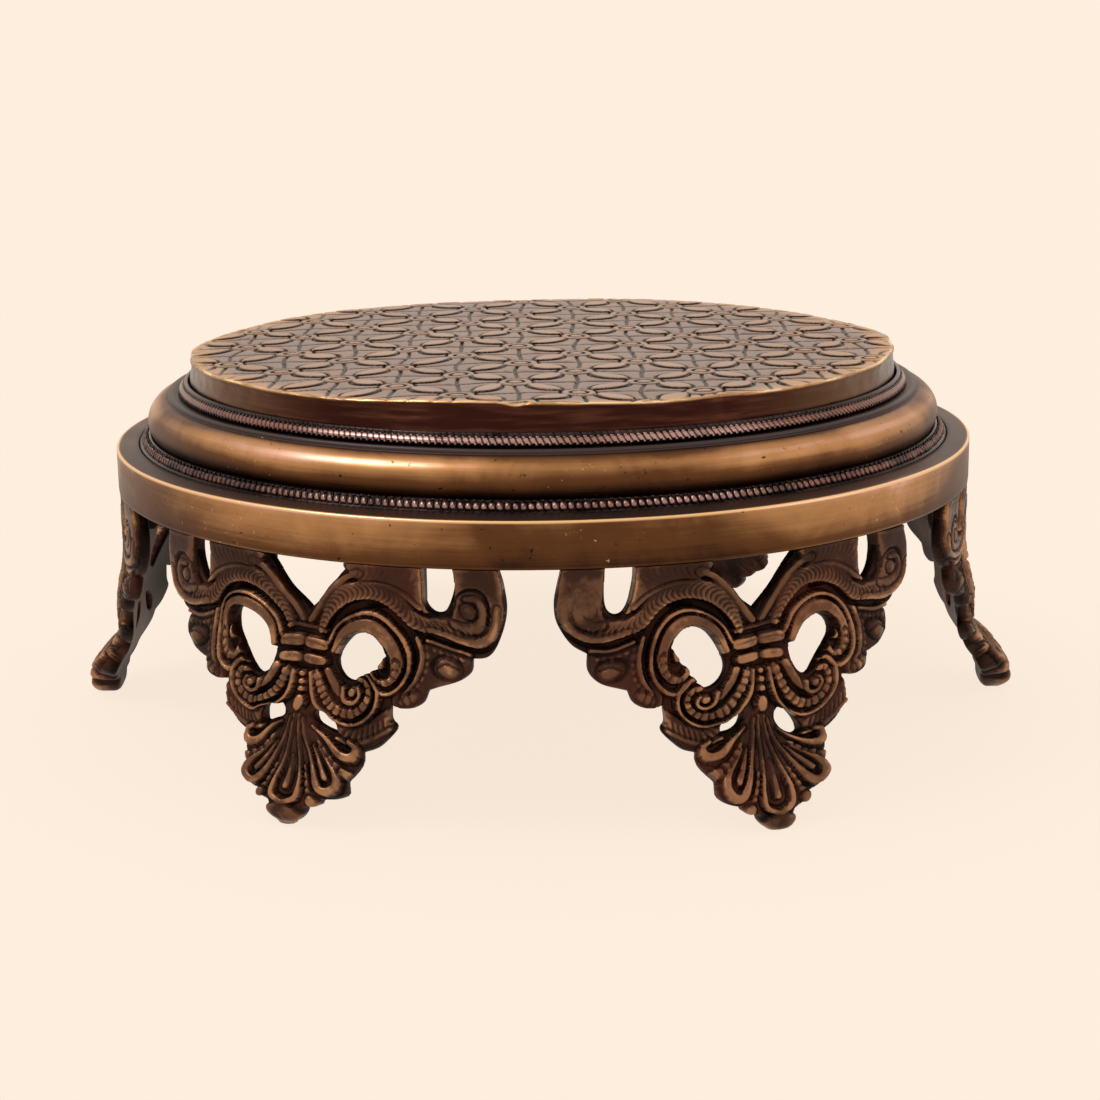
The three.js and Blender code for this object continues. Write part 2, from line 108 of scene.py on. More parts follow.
def waves(seed: int, count: int, longest: float, shortest: float) -> Callable[..., np.ndarray]:
    """Make a smooth wandering function of two lengths, for the unevenness of hand work.

    Args:
        seed: Seed of the random waves.
        count: How many waves are added.
        longest: Longest wavelength.
        shortest: Shortest wavelength.

    Returns:
        A function of across and along that stays mostly between -1 and 1.
    """
    rng = np.random.default_rng(seed)
    lengths = np.exp(rng.uniform(math.log(shortest), math.log(longest), count))
    headings = rng.uniform(0.0, 2.0 * math.pi, count)
    phases = rng.uniform(0.0, 2.0 * math.pi, count)

    def height(across: np.ndarray, along: np.ndarray) -> np.ndarray:
        """Add the waves at each point.

        Args:
            across: Across places.
            along: Along places.

        Returns:
            The sums.
        """
        total = np.zeros(np.broadcast(across, along).shape)
        for length, heading, phase in zip(lengths, headings, phases):
            reach = across * math.cos(heading) + along * math.sin(heading)
            total += np.sin(2.0 * math.pi * reach / length + phase)
        return total / math.sqrt(count)

    return height


def math_method(operation: str, reflected: bool = False) -> Callable[["Wire", Value], "Wire"]:
    """Make a method that adds one kind of Math node.

    Args:
        operation: The node's operation.
        reflected: Whether the other value comes first.

    Returns:
        The method.
    """

    def method(wire: "Wire", other: Value) -> "Wire":
        """Add the node."""
        values = (other, wire) if reflected else (wire, other)
        return wire.bench.math(operation, *values)

    return method


class Wire:
    """One socket of a node tree, which takes part in Python sums."""

    def __init__(self, bench: "Bench", socket: bpy.types.NodeSocket) -> None:
        """Keep the socket and the tree it belongs to."""
        self.bench = bench
        self.socket = socket

    __add__, __radd__ = math_method("ADD"), math_method("ADD", True)
    __sub__, __rsub__ = math_method("SUBTRACT"), math_method("SUBTRACT", True)
    __mul__, __rmul__ = math_method("MULTIPLY"), math_method("MULTIPLY", True)
    __truediv__, __pow__ = math_method("DIVIDE"), math_method("POWER")

    def of(self, operation: str, *values: Value) -> "Wire":
        """Any other Math operation on this socket."""
        return self.bench.math(operation, self, *values)

    def ramp(self, low: float, high: float) -> "Wire":
        """Rise smoothly from 0 at low to 1 at high."""
        settings = {"interpolation_type": "SMOOTHSTEP"}
        return self.bench.node("ShaderNodeMapRange", settings, {0: self, 1: low, 2: high})

    def swing(self, gain: float) -> "Wire":
        """Centre a noise about 0 and scale it."""
        return (self - 0.5) * gain


@dataclass
class Bench:
    """A node tree under construction, of a material, a world or a modifier."""

    tree: bpy.types.NodeTree

    def node(self, kind: str, settings: dict | None = None, inputs: dict | None = None,
             output: int | str = 0) -> Wire:
        """Add one node.

        Args:
            kind: The node's type.
            settings: Its properties.
            inputs: Values or wires of its sockets, by name or number.
            output: The socket that is handed back.

        Returns:
            The wire from that output.
        """
        made = self.tree.nodes.new(kind)
        for name, value in (settings or {}).items():
            setattr(made, name, value)
        for name, value in (inputs or {}).items():
            if isinstance(value, Wire):
                self.tree.links.new(value.socket, made.inputs[name])
            else:
                made.inputs[name].default_value = value
        return Wire(self, made.outputs[output])

    def math(self, operation: str, *values: Value) -> Wire:
        """Add a Math node over the values."""
        return self.node("ShaderNodeMath", {"operation": operation}, dict(enumerate(values)))

    def vector(self, operation: str, inputs: dict, output: int | str = 0) -> Wire:
        """Add a Vector Math node."""
        return self.node("ShaderNodeVectorMath", {"operation": operation}, inputs, output)

    def axes(self, place: Wire) -> list[Wire]:
        """Split a vector into its three numbers."""
        return [self.node("ShaderNodeSeparateXYZ", None, {0: place}, axis) for axis in range(3)]

    def coats(self, colour: Paint, *coats: tuple[Value, Paint]) -> Wire:
        """Lay colours over one another.

        Args:
            colour: The lowest colour, as a wire or as screen levels.
            coats: The share and the colour of each coat above it.

        Returns:
            The colour on top.
        """
        settings = {"data_type": "RGBA", "clamp_factor": True}
        for share, coat in coats:
            low, high = (end if isinstance(end, Wire) else paint(*end) for end in (colour, coat))
            colour = self.node("ShaderNodeMix", settings, {0: share, 6: low, 7: high}, 2)
        return colour

    def noise(self, place: Wire, scale: float, detail: float = 3.0, roughness: float = 0.55,
              distortion: float = 0.0) -> Wire:
        """Add a noise texture's factor.

        Args:
            place: Where it is read.
            scale: Its scale.
            detail: Its number of finer layers.
            roughness: How strong the finer layers are.
            distortion: How far it is warped.

        Returns:
            The factor, from 0 to 1.
        """
        inputs = {"Vector": place, "Scale": scale, "Detail": detail, "Roughness": roughness,
                  "Distortion": distortion}
        return self.node("ShaderNodeTexNoise", None, inputs)

    def bump(self, strength: float, distance: float, height: Wire) -> Wire:
        """Turn a height into a normal."""
        inputs = {"Strength": strength, "Distance": distance, "Height": height}
        return self.node("ShaderNodeBump", None, inputs, "Normal")

    def attribute(self, name: str) -> Wire:
        """Read a number kept on the mesh."""
        return self.node("ShaderNodeAttribute", {"attribute_name": name}, None, "Fac")

    def object_place(self) -> Wire:
        """Read the Object coordinates."""
        return self.node("ShaderNodeTexCoord", None, None, "Object")

    def show(self, surface: Wire, output: str) -> None:
        """Link a surface to the tree's output node."""
        self.tree.links.new(surface.socket, self.tree.nodes[output].inputs["Surface"])


@dataclass(frozen=True)
class Finish:
    """A metal's finish, painted by wires that vary over the surface."""

    def dress(self, bench: Bench) -> dict[str, Wire]:
        """Build the wires of the sockets that vary.

        Args:
            bench: The material's bench.

        Returns:
            The wires, by socket.
        """
        raise NotImplementedError

    def material(self, name: str) -> bpy.types.Material:
        """Make a metal material around a Principled shader.

        Args:
            name: The material's name.

        Returns:
            The material.
        """
        material = bpy.data.materials.new(name)
        material.use_nodes = True
        bench = Bench(material.node_tree)
        shader = bench.tree.nodes["Principled BSDF"]
        shader.inputs["Metallic"].default_value = 1.0
        for socket, wire in self.dress(bench).items():
            bench.tree.links.new(wire.socket, shader.inputs[socket])
        return material


@dataclass(frozen=True)
class DarkRelief(Finish):
    """Antique finish of the carved legs: near black in the hollows, coppery gold where hands rub."""

    hollow: Colour = (32, 24, 21)
    body: Colour = (62, 43, 36)
    worn: Colour = (106, 77, 59)
    bright: Colour = (168, 126, 94)
    blush: Colour = (92, 48, 38)

    def dress(self, bench: Bench) -> dict[str, Wire]:
        """Wire the patina to the wear kept on the mesh.

        Args:
            bench: The material's bench.

        Returns:
            The wires, by socket.
        """
        place = bench.object_place()
        grain = bench.noise(place, 900.0)
        level = (bench.attribute("wear") + bench.noise(place, 70.0, 4.0).swing(1.1)
                 + bench.noise(place, 260.0, 2.0).swing(0.5) + grain.swing(0.2))
        red = bench.noise(place, 35.0, 2.0).ramp(0.45, 0.7) * 0.35
        colour = bench.coats(self.hollow, (level.ramp(0.05, 0.5), self.body),
                             (level.ramp(0.68, 1.05), self.worn), (level.ramp(1.1, 1.4), self.bright),
                             (red, self.blush))
        rough = 0.56 - level.ramp(0.3, 1.0) * 0.2 + grain.swing(0.15)
        return {"Base Color": colour, "Roughness": rough, "Normal": bench.bump(0.35, 0.00025, grain)}


def painted_highlight_near(bench: Bench, place: Wire, spots: tuple[Point, ...], reach: float) -> Wire:
    """Measure how near a place is to the spots where a highlight is painted.

    Args:
        bench: The material's bench.
        place: The place on the object.
        spots: The spots, seen from above, in metres.
        reach: Where the painted highlight ends, in metres from a spot.

    Returns:
        1 at a spot, fading to 0 at the reach, summed over the spots.
    """
    flat = bench.vector("MULTIPLY", {0: place, 1: (1.0, 1.0, 0.0)})
    total: Value = 0.0
    for spot in spots:
        gap = bench.vector("DISTANCE", {0: flat, 1: (*spot, 0.0)}, "Value")
        total = 1.0 - gap.ramp(0.01, reach) + total
    return total


@dataclass(frozen=True)
class GoldenTurned(Finish):
    """Brushed golden finish of the turned rings. It goes brown and black towards their corners and the roll's
    foot as painted shade, with a painted highlight in pale gold near the roll's crest, at a few spots and
    along the apron's top edge.
    """

    # The darkest colour: for pits and clouds, and for the painted shade at the roll's foot, in corners and
    # low on the apron.
    darkening: Colour = (40, 26, 23)
    brown: Colour = (96, 62, 38)
    gold: Colour = (180, 134, 90)
    # Painted highlight colour on the brightest gold.
    pale: Colour = (220, 176, 156)
    # Painted highlight colour of the apron's top edge, also given to chips.
    edge: Colour = (244, 206, 156)
    ash: Colour = (72, 64, 66)
    # Spots seen from above where the gold is brightened, a painted highlight, and its reach.
    highlight_spots: tuple[Point, ...] = ((0.11, -0.105), (-0.075, -0.125), (-0.14, 0.02))
    highlight_reach: float = 0.085

    def dress(self, bench: Bench) -> dict[str, Wire]:
        """Wire the tone along the ring's section, which paints its shade and highlight, to its colours.

        Args:
            bench: The material's bench.

        Returns:
            The wires, by socket.
        """
        place, tone = bench.object_place(), bench.attribute("tone")
        brushed = bench.vector("MULTIPLY", {0: place, 1: (25.0, 25.0, 900.0)})
        brushing = bench.noise(brushed, 1.0, 5.0, 0.6)
        clouds = bench.noise(place, 30.0, 4.0, 0.6, 0.6)
        pits = bench.noise(place, 420.0, 2.0).ramp(0.68, 0.76)
        chipped = bench.noise(place, 16.0, 1.0).ramp(0.55, 0.68)
        chips = bench.noise(place, 620.0, 2.0).ramp(0.68, 0.74) * chipped
        # Painted highlight: the gold is brightened near the listed spots.
        highlighted = painted_highlight_near(bench, place, self.highlight_spots, self.highlight_reach)
        # The tone paints a highlight on the roll's upper half and shade on its lower half, in corners and low
        # on the apron.
        level = tone * (0.56 + highlighted * 0.36) + brushing.swing(0.24) + clouds.swing(0.62) - pits * 0.3
        colour = bench.coats(
            self.darkening, (level.ramp(0.0, 0.38), self.brown), (level.ramp(0.35, 0.8), self.gold),
            # Pale gold where the level is highest, near the roll's crest and the listed spots: painted
            # highlight.
            (level.ramp(0.72, 1.05), self.pale),
            # Edge colour where the tone passes 1.05, a painted highlight line along the apron's top edge, and
            # on chips of worn metal.
            (tone.ramp(1.05, 1.3).of("MAXIMUM", chips * 0.45), self.edge),
            (bench.attribute("ash"), self.ash))
        rough = 0.46 - level.ramp(0.2, 1.0) * 0.16 + brushing.swing(0.12)
        bump = bench.bump(0.2, 0.0002, brushing * 0.6 - pits * 1.5)
        return {"Base Color": colour, "Roughness": rough, "Normal": bump}


@dataclass(frozen=True)
class EngravingSizes:
    """Sizes that the engraving and its finish share, in millimetres."""

    period: float = 20.0 * math.sqrt(2.0)
    leaf_gap: float = 6.2
    belly: float = 4.4
    belly_power: float = 0.8
    outline: float = 0.9
    stroke: float = 0.8
    ring: float = 6.2
    ring_line: float = 0.6
    eye: float = 2.9
    ring_edge: float = 6.9


@dataclass(frozen=True)
class GreyedTop(Finish):
    """Finish of the engraved top: greyed field, tan leaves, dark lines, a golden rim, a dark red side, a
    painted highlight on the edge line and a painted reflection at the side's left and right ends.
    """

    line: Colour = (36, 26, 24)
    facet: Colour = (132, 115, 109)
    crown: Colour = (178, 153, 136)
    margin: Colour = (176, 137, 97)
    # The edge line's own gold, and cream patches of painted highlight on it.
    edge_dull: Colour = (166, 124, 80)
    edge_highlight: Colour = (246, 214, 166)
    side: Colour = (50, 26, 21)
    side_worn: Colour = (84, 50, 40)
    # Painted reflection: lighter gold towards the side's left and right ends, greyer at the very ends.
    side_reflection: Colour = (106, 76, 53)
    side_end_reflection: Colour = (62, 49, 45)
    spill: float = 1.25
    sizes: EngravingSizes = EngravingSizes()

    def _lines_and_leaves(self, bench: Bench) -> tuple[Wire, Wire]:
        """Work out the cut lines and the leaves from the pattern's own coordinates.

        Args:
            bench: The material's bench.

        Returns:
            1 in the cuts, and 1 on the leaves and less in the rings.
        """
        sizes = self.sizes
        half = sizes.period / 2.0
        p, q = (bench.attribute(name).of("WRAP", half, -half).of("ABSOLUTE") for name in ("along", "aside"))
        reach = (p * p + q * q).of("SQRT")

        def line(distance: Wire, width: float) -> Wire:
            """A cut that is darkest along its middle."""
            return 1.0 - distance.of("ABSOLUTE").ramp(width * 0.6, width * 1.15)

        cuts = line((p - q) / math.sqrt(2.0), sizes.stroke)
        leaves: Value = 0.0
        for ahead, beside in ((p, q), (q, p)):
            share = ((half - ahead) / (half - sizes.leaf_gap)).of("MINIMUM", 1.0)
            belly = (1.0 - share * share) ** sizes.belly_power * sizes.belly
            present = share.of("LESS_THAN", 1.0)
            cuts = cuts.of("MAXIMUM", line(beside - belly, sizes.outline * self.spill) * present)
            leaves = ((belly - beside).ramp(0.2, 1.2) * present).of("MAXIMUM", leaves)
        outside = reach.ramp(sizes.ring, sizes.ring_edge)
        inside = 0.7 * (1.0 - reach.ramp(sizes.ring - 0.4, sizes.ring))
        ring_cut = sizes.ring_line * self.spill
        rings = line(reach - sizes.ring, ring_cut).of("MAXIMUM", line(reach - sizes.eye, ring_cut))
        return (cuts * outside).of("MAXIMUM", rings), (leaves * outside).of("MAXIMUM", inside)

    def dress(self, bench: Bench) -> dict[str, Wire]:
        """Wire the cuts, the rim, the edge line with its painted highlight, and the side with its painted
        reflection to their colours.

        Args:
            bench: The material's bench.

        Returns:
            The wires, by socket.
        """
        place, inward = bench.object_place(), bench.attribute("inward")
        away = bench.axes(place)[0].of("ABSOLUTE")
        wide_rim = (1.0 - inward.ramp(2.0, 13.0)) * away.ramp(0.03, 0.09) * 0.8
        rim = (1.0 - inward.ramp(0.0, 8.0)).of("MAXIMUM", wide_rim)
        side = 1.0 - inward.ramp(-1.5, -0.7)
        # A thin band along the filed edge, which takes the edge line's gold and its painted highlight.
        edge = inward.ramp(-1.1, -0.4) * (1.0 - inward.ramp(0.25, 0.8))
        clouds, patches, grain = (bench.noise(place, scale) for scale in (26.0, 70.0, 700.0))
        cuts, leaves = self._lines_and_leaves(bench)
        shade = clouds.swing(0.9) + patches.swing(0.5) + grain.swing(0.3)
        firm = inward.ramp(0.6, 5.0) * 0.7 + 0.3 + patches.swing(0.4)
        crown = bench.coats(self.crown, (away.ramp(0.03, 0.11) * 0.6, self.margin))
        # Cream patches of painted highlight over the edge line's gold.
        lit = bench.coats(self.edge_dull, ((clouds + patches - 0.5).ramp(0.35, 0.7), self.edge_highlight))
        streaks = bench.noise(bench.vector("MULTIPLY", {0: place, 1: (40.0, 40.0, 500.0)}), 1.0, 4.0)
        dark = bench.coats(self.side, (streaks.ramp(0.4, 0.75), self.side_worn),
                           # Painted reflection at the side's left and right ends: lighter gold, then greyer
                           # at the very ends.
                           (away.ramp(0.06, 0.12) * 0.85, self.side_reflection),
                           (away.ramp(0.107, 0.125) * 0.75, self.side_end_reflection))
        colour = bench.coats(self.facet, (leaves * 0.6 + shade + 0.05, crown),
                             ((rim * 1.1 + shade * 0.5).ramp(0.2, 1.0), self.margin),
                             (cuts * firm, self.line), (edge, lit), (side, dark))
        rough = 0.42 + grain.swing(0.12) - rim * 0.08 - side * 0.04
        return {"Base Color": colour, "Roughness": rough, "Normal": bench.bump(0.25, 0.0002, grain)}


@dataclass(frozen=True)
class CopperyStrip(Finish):
    """Finish of the milled strips: coppery pink crests over dark gaps, with a painted silver highlight at a
    few spots on the front.
    """

    gap: Colour = (20, 15, 15)
    grey: Colour = (62, 52, 52)
    crest: Colour = (140, 100, 92)
    # Colour of a painted highlight.
    silver_highlight: Colour = (196, 166, 162)
    ribs: int = 0
    slant: float = 1.6
    # Spots seen from above where the painted silver highlight lies, with its reach and its strength.
    highlight_spots: tuple[Point, ...] = ((-0.05, -0.125), (-0.012, -0.14), (0.048, -0.12))
    highlight_reach: float = 0.04
    highlight_strength: float = 0.7

    def dress(self, bench: Bench) -> dict[str, Wire]:
        """Wire the tone kept on the strip, its slanting ribs and its painted highlight spots to its colours.

        Args:
            bench: The material's bench.

        Returns:
            The wires, by socket.
        """
        place, tone = bench.object_place(), bench.attribute("tone")
        clouds, grain = bench.noise(place, 60.0), bench.noise(place, 700.0, 2.0)
        east, north, up = bench.axes(place)
        slant = north.of("ARCTAN2", east) * self.ribs + up / MM * self.slant
        between = slant.of("SINE").ramp(0.1, 0.8) * (0.2 + clouds * 0.5)
        level = tone + clouds.swing(0.8) + grain.swing(0.5) - between * tone
        # Painted highlight: silver over the crests near the listed spots.
        highlighted = painted_highlight_near(bench, place, self.highlight_spots, self.highlight_reach)
        highlight_share = (highlighted * self.highlight_strength).of("MINIMUM", self.highlight_strength)
        colour = bench.coats(self.gap, (level.ramp(0.05, 0.45), self.grey),
                             (level.ramp(0.5, 0.95), self.crest),
                             (level.ramp(0.45, 1.05) * highlight_share, self.silver_highlight))
        return {"Base Color": colour, "Roughness": 0.3 + grain.swing(0.2)}


@dataclass(frozen=True)
class PlainSteel(Finish):
    """Finish of the hidden screws."""

    clean: Colour = (140, 138, 134)
    sooty: Colour = (72, 64, 58)

    def dress(self, bench: Bench) -> dict[str, Wire]:
        """Wire a little soot to the colour.

        Args:
            bench: The material's bench.

        Returns:
            The wires, by socket.
        """
        darkening = bench.noise(bench.object_place(), 260.0, 4.0)
        colour = bench.coats(self.clean, (darkening.ramp(0.4, 0.7), self.sooty))
        return {"Base Color": colour, "Roughness": 0.34 + darkening * 0.2}


def linked(name: str, data: bpy.types.ID) -> bpy.types.Object:
    """Put a new object into the scene.

    Args:
        name: Its name.
        data: Its mesh, lamp or camera.

    Returns:
        The object.
    """
    made = bpy.data.objects.new(name, data)
    bpy.context.scene.collection.objects.link(made)
    return made


def baked(carrier: bpy.types.Object) -> bpy.types.Mesh:
    """Keep an object's mesh as its modifiers leave it, and remove the object.

    Args:
        carrier: The object.

    Returns:
        The mesh.
    """
    graph = bpy.context.evaluated_depsgraph_get()
    mesh = bpy.data.meshes.new_from_object(carrier.evaluated_get(graph))
    bpy.data.objects.remove(carrier)
    return mesh


def grown_mesh(name: str, seed: bpy.types.Mesh, inputs: dict[str, tuple[str, object]],
               grow: Callable[[Bench, dict[str, Wire]], Wire], material: bpy.types.Material
               ) -> bpy.types.Mesh:
    """Grow a mesh from another in Geometry Nodes.

    Args:
        name: Name of the node group.
        seed: The mesh that enters it.
        inputs: Socket type and value of its further inputs, by title.
        grow: Builds the geometry from the wires of its inputs.
        material: The material of what is grown.

    Returns:
        The mesh, with nothing left as an instance.
    """
    carrier = linked(name, seed)
    tree = bpy.data.node_groups.new(name, "GeometryNodeTree")
    face = tree.interface
    for title, (kind, _) in {"Geometry": ("NodeSocketGeometry", None), **inputs}.items():
        face.new_socket(title, in_out="INPUT", socket_type=kind)
    face.new_socket("Geometry", in_out="OUTPUT", socket_type="NodeSocketGeometry")
    bench = Bench(tree)
    entry = tree.nodes.new("NodeGroupInput")
    wires = {socket.name: Wire(bench, socket) for socket in entry.outputs if socket.name}
    grown = bench.node("GeometryNodeRealizeInstances", None, {"Geometry": grow(bench, wires)})
    grown = bench.node("GeometryNodeSetMaterial", None, {"Geometry": grown, "Material": material})
    tree.links.new(grown.socket, tree.nodes.new("NodeGroupOutput").inputs[0])
    modifier = carrier.modifiers.new(name, "NODES")
    modifier.node_group = tree
    for item in face.items_tree:
        if item.in_out == "INPUT" and item.name in inputs:
            modifier[item.identifier] = inputs[item.name][1]
    return baked(carrier)


@dataclass(frozen=True)
class PortraitCamera:
    """The photograph's view of the table."""

    distance: float = 800.6
    height: float = 250.0
    pitch: float = 0.2418
    yaw: float = 0.0024
    roll: float = -0.0139
    focal_pixels: float = 2230.0
    turn: float = math.radians(2.0)

    def build(self) -> None:
        """Make the camera and set it as the scene's."""
        forward = Vector((math.sin(self.yaw) * math.cos(self.pitch),
                          math.cos(self.yaw) * math.cos(self.pitch), -math.sin(self.pitch)))
        right = Vector((math.cos(self.yaw), -math.sin(self.yaw), 0.0))
        up = right.cross(forward)
        cos_roll, sin_roll = math.cos(self.roll), math.sin(self.roll)
        right, up = cos_roll * right + sin_roll * up, cos_roll * up - sin_roll * right
        axes = Matrix((right, up, -forward)).transposed().to_4x4()
        place = Matrix.Translation(Vector((0.0, -self.distance, self.height)) * MM)
        lens = bpy.data.cameras.new("portrait_camera")
        lens.sensor_width = SENSOR_WIDTH
        lens.lens = self.focal_pixels / IMAGE_SIDE * SENSOR_WIDTH
        lens.clip_start, lens.clip_end = CLIPPING
        camera = linked("portrait_camera", lens)
        camera.matrix_world = Matrix.Rotation(self.turn, 4, "Z") @ place @ axes
        bpy.context.scene.camera = camera


class LampKind(Enum):
    """The studio's lamps: place, aim, size in metres, and power in watts."""

    OVERHEAD = ((-0.62, -0.28, 1.0), (0.0, -0.02, 0.1), (0.42, 0.34), 3.2)
    RIGHT_WALL = ((1.2, -0.35, 0.6), (0.0, 0.0, 0.08), (0.7, 0.6), 0.9)
    BACK = ((0.1, 1.4, 0.9), (0.0, 0.0, 0.1), (1.2, 0.6), 0.9)


@dataclass
class Studio:
    """A pale floor, soft lamps and a plain pale world."""

    backdrop: Colour = (254, 238, 222)
    glow: Colour = (255, 246, 238)
    lamp_tint: Colour = (1.0, 0.97, 0.94)
    floor_side: float = 12.0
    shadow_share: float = 0.09
    shadow_reach: tuple[float, float] = (0.16, 0.26)
    world_light: float = 0.8

    def build(self) -> None:
        """Make the floor, the world and the lamps."""
        self._floor()
        self._world()
        for kind in LampKind:
            self._lamp(kind)
        bpy.context.scene.view_settings.view_transform = "Standard"

    def _floor(self) -> None:
        """Lay a floor that shows the backdrop's colour and keeps the table's shadow."""
        half = self.floor_side / 2.0
        mesh = bpy.data.meshes.new("floor")
        corners = [(-half, -half, 0.0), (half, -half, 0.0), (half, half, 0.0), (-half, half, 0.0)]
        mesh.from_pydata(corners, [], [(0, 1, 2, 3)])
        floor = linked("floor", mesh)
        material = bpy.data.materials.new("pale_floor")
        material.use_nodes = True
        bench = Bench(material.node_tree)
        bench.tree.nodes.remove(bench.tree.nodes["Principled BSDF"])
        seen = bench.node("ShaderNodeEmission", None, {"Color": paint(*self.backdrop), "Strength": 1.0})
        lit = bench.node("ShaderNodeBsdfDiffuse", None, {"Color": paint(*self.backdrop)})
        away = bench.vector("LENGTH", {0: bench.object_place()}, "Value")
        near = 1.0 - away.ramp(*self.shadow_reach)
        share = 1.0 - self._backdrop_rays(bench) * (1.0 - near * self.shadow_share)
        bench.show(bench.node("ShaderNodeMixShader", None, {0: share, 1: seen, 2: lit}), "Material Output")
        mesh.materials.append(material)

    def _world(self) -> None:
        """Show the backdrop to the camera, and light the table softly."""
        world = bpy.data.worlds.new("studio")
        bpy.context.scene.world = world
        world.use_nodes = True
        bench = Bench(world.node_tree)
        glow, shown = (
            bench.node("ShaderNodeBackground", None, {"Color": paint(*colour), "Strength": strength})
            for colour, strength in ((self.glow, self.world_light), (self.backdrop, 1.0)))
        rays = self._backdrop_rays(bench)
        bench.show(bench.node("ShaderNodeMixShader", None, {0: rays, 1: glow, 2: shown}), "World Output")

    @staticmethod
    def _backdrop_rays(bench: Bench) -> Wire:
        """Pick the rays that show the plain backdrop: the camera's, and reflections in the metal.

        Args:
            bench: The world's bench.

        Returns:
            1 for these rays and 0 for the others.
        """
        camera, glossy, through = (bench.node("ShaderNodeLightPath", None, None, name)
                                   for name in ("Is Camera Ray", "Is Glossy Ray", "Is Transmission Ray"))
        return camera.of("MAXIMUM", glossy).of("MAXIMUM", through)

    def _lamp(self, kind: LampKind) -> None:
        """Hang one soft lamp.

        Args:
            kind: Which lamp.
        """
        place, aim, size, power = kind.value
        lamp = bpy.data.lights.new(kind.name.lower(), "AREA")
        lamp.shape = "RECTANGLE"
        lamp.size, lamp.size_y = size
        lamp.energy = power
        lamp.color = self.lamp_tint
        holder = linked(kind.name.lower(), lamp)
        holder.location = place
        holder.rotation_euler = (Vector(aim) - Vector(place)).to_track_quat("-Z", "Y").to_euler()


def finished_piece(name: str, mesh: bpy.types.Mesh, material: bpy.types.Material,
                   nodes: Iterable[str]) -> None:
    """Put a finished mesh into the scene as a piece that stands for CAD nodes.

    Args:
        name: The piece's name.
        mesh: Its mesh, in metres, in the table's frame.
        material: Its material.
        nodes: The CAD nodes it stands for.
    """
    mesh.materials.clear()
    mesh.materials.append(material)
    piece = linked(name, mesh)
    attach(piece, BODY)
    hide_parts(*nodes)
    LOG.info("%s: %d faces", name, len(mesh.polygons))


def keep_number(mesh: bpy.types.Mesh, name: str, values: Sequence[float]) -> None:
    """Keep a number on each of a mesh's points.

    Args:
        mesh: The mesh.
        name: The number's name.
        values: One for each point.
    """
    kept = mesh.attributes.new(name, "FLOAT", "POINT")
    kept.data.foreach_set("value", np.asarray(values, np.float32))


def mesh_from_arrays(name: str, points: np.ndarray, faces: Sequence[np.ndarray]) -> bpy.types.Mesh:
    """Make a smooth mesh from arrays.

    Args:
        name: The mesh's name.
        points: Its points in millimetres.
        faces: Arrays of triangles or quads.

    Returns:
        The mesh, in metres.
    """
    mesh = bpy.data.meshes.new(name)
    loops = np.concatenate([block.ravel() for block in faces]).astype(np.int32)
    totals = np.concatenate([np.full(len(block), block.shape[1]) for block in faces])
    starts = np.concatenate([[0], np.cumsum(totals)[:-1]]).astype(np.int32)
    mesh.vertices.add(len(points))
    mesh.vertices.foreach_set("co", (points * MM).astype(np.float32).ravel())
    mesh.loops.add(len(loops))
    mesh.loops.foreach_set("vertex_index", loops)
    mesh.polygons.add(len(totals))
    mesh.polygons.foreach_set("loop_start", starts)
    mesh.polygons.foreach_set("use_smooth", np.full(len(totals), True))
    mesh.update(calc_edges=True)
    mesh.validate()
    return mesh


def smooth_path(points: Sequence[Point], step: float, closed: bool = False) -> np.ndarray:
    """Draw a smooth line through points.

    Args:
        points: The points it passes.
        step: Rough spacing of the samples.
        closed: Whether the line returns to its start.

    Returns:
        The samples, one row each.
    """
    knots = np.array(points, float)
    if closed:
        knots = np.vstack([knots[-1], knots, knots[0], knots[1]])
    else:
        knots = np.vstack([2 * knots[0] - knots[1], knots, 2 * knots[-1] - knots[-2]])
    samples = []
    for first, start, end, last in zip(knots[:-3], knots[1:-2], knots[2:-1], knots[3:]):
        count = max(int(np.hypot(*(end - start)) / step), 1)
        share = (np.arange(count) / count)[:, None]
        leave, arrive = (end - first) / 2.0, (last - start) / 2.0
        cubic = ((2 * share**3 - 3 * share**2 + 1) * start + (share**3 - 2 * share**2 + share) * leave
                 + (3 * share**2 - 2 * share**3) * end + (share**3 - share**2) * arrive)
        samples.append(cubic)
    if not closed:
        samples.append(knots[-2:-1])
    return np.vstack(samples)


def ring_distance(loop: np.ndarray, across: np.ndarray, down: np.ndarray) -> np.ndarray:
    """Signed distance to a closed line, positive inside.

    Args:
        loop: The line's points.
        across: Across places to measure at.
        down: Down places to measure at.

    Returns:
        The distances.
    """
    start, end = loop, np.roll(loop, -1, 0)
    best = np.full(across.shape, np.inf)
    inside = np.zeros(across.shape, bool)
    for (a0, d0), (a1, d1) in zip(start, end):
        edge_a, edge_d = a1 - a0, d1 - d0
        length = max(edge_a * edge_a + edge_d * edge_d, 1e-12)
        share = np.clip(((across - a0) * edge_a + (down - d0) * edge_d) / length, 0.0, 1.0)
        best = np.minimum(best, (across - a0 - share * edge_a) ** 2 + (down - d0 - share * edge_d) ** 2)
        if d0 != d1:
            crosses = ((d0 > down) != (d1 > down)) & (across < edge_a * (down - d0) / edge_d + a0)
            inside ^= crosses
    return np.where(inside, 1.0, -1.0) * np.sqrt(best)


def domed(level: float | np.ndarray, rise: float, spread: np.ndarray) -> np.ndarray:
    """Level of a rounded crown.

    Args:
        level: Level of its top.
        rise: How far the top stands over the foot.
        spread: 0 at the top and 1 at the foot.

    Returns:
        The levels.
    """
    return level - rise * (1.0 - np.sqrt(np.clip(1.0 - spread, 0.0, 1.0)))


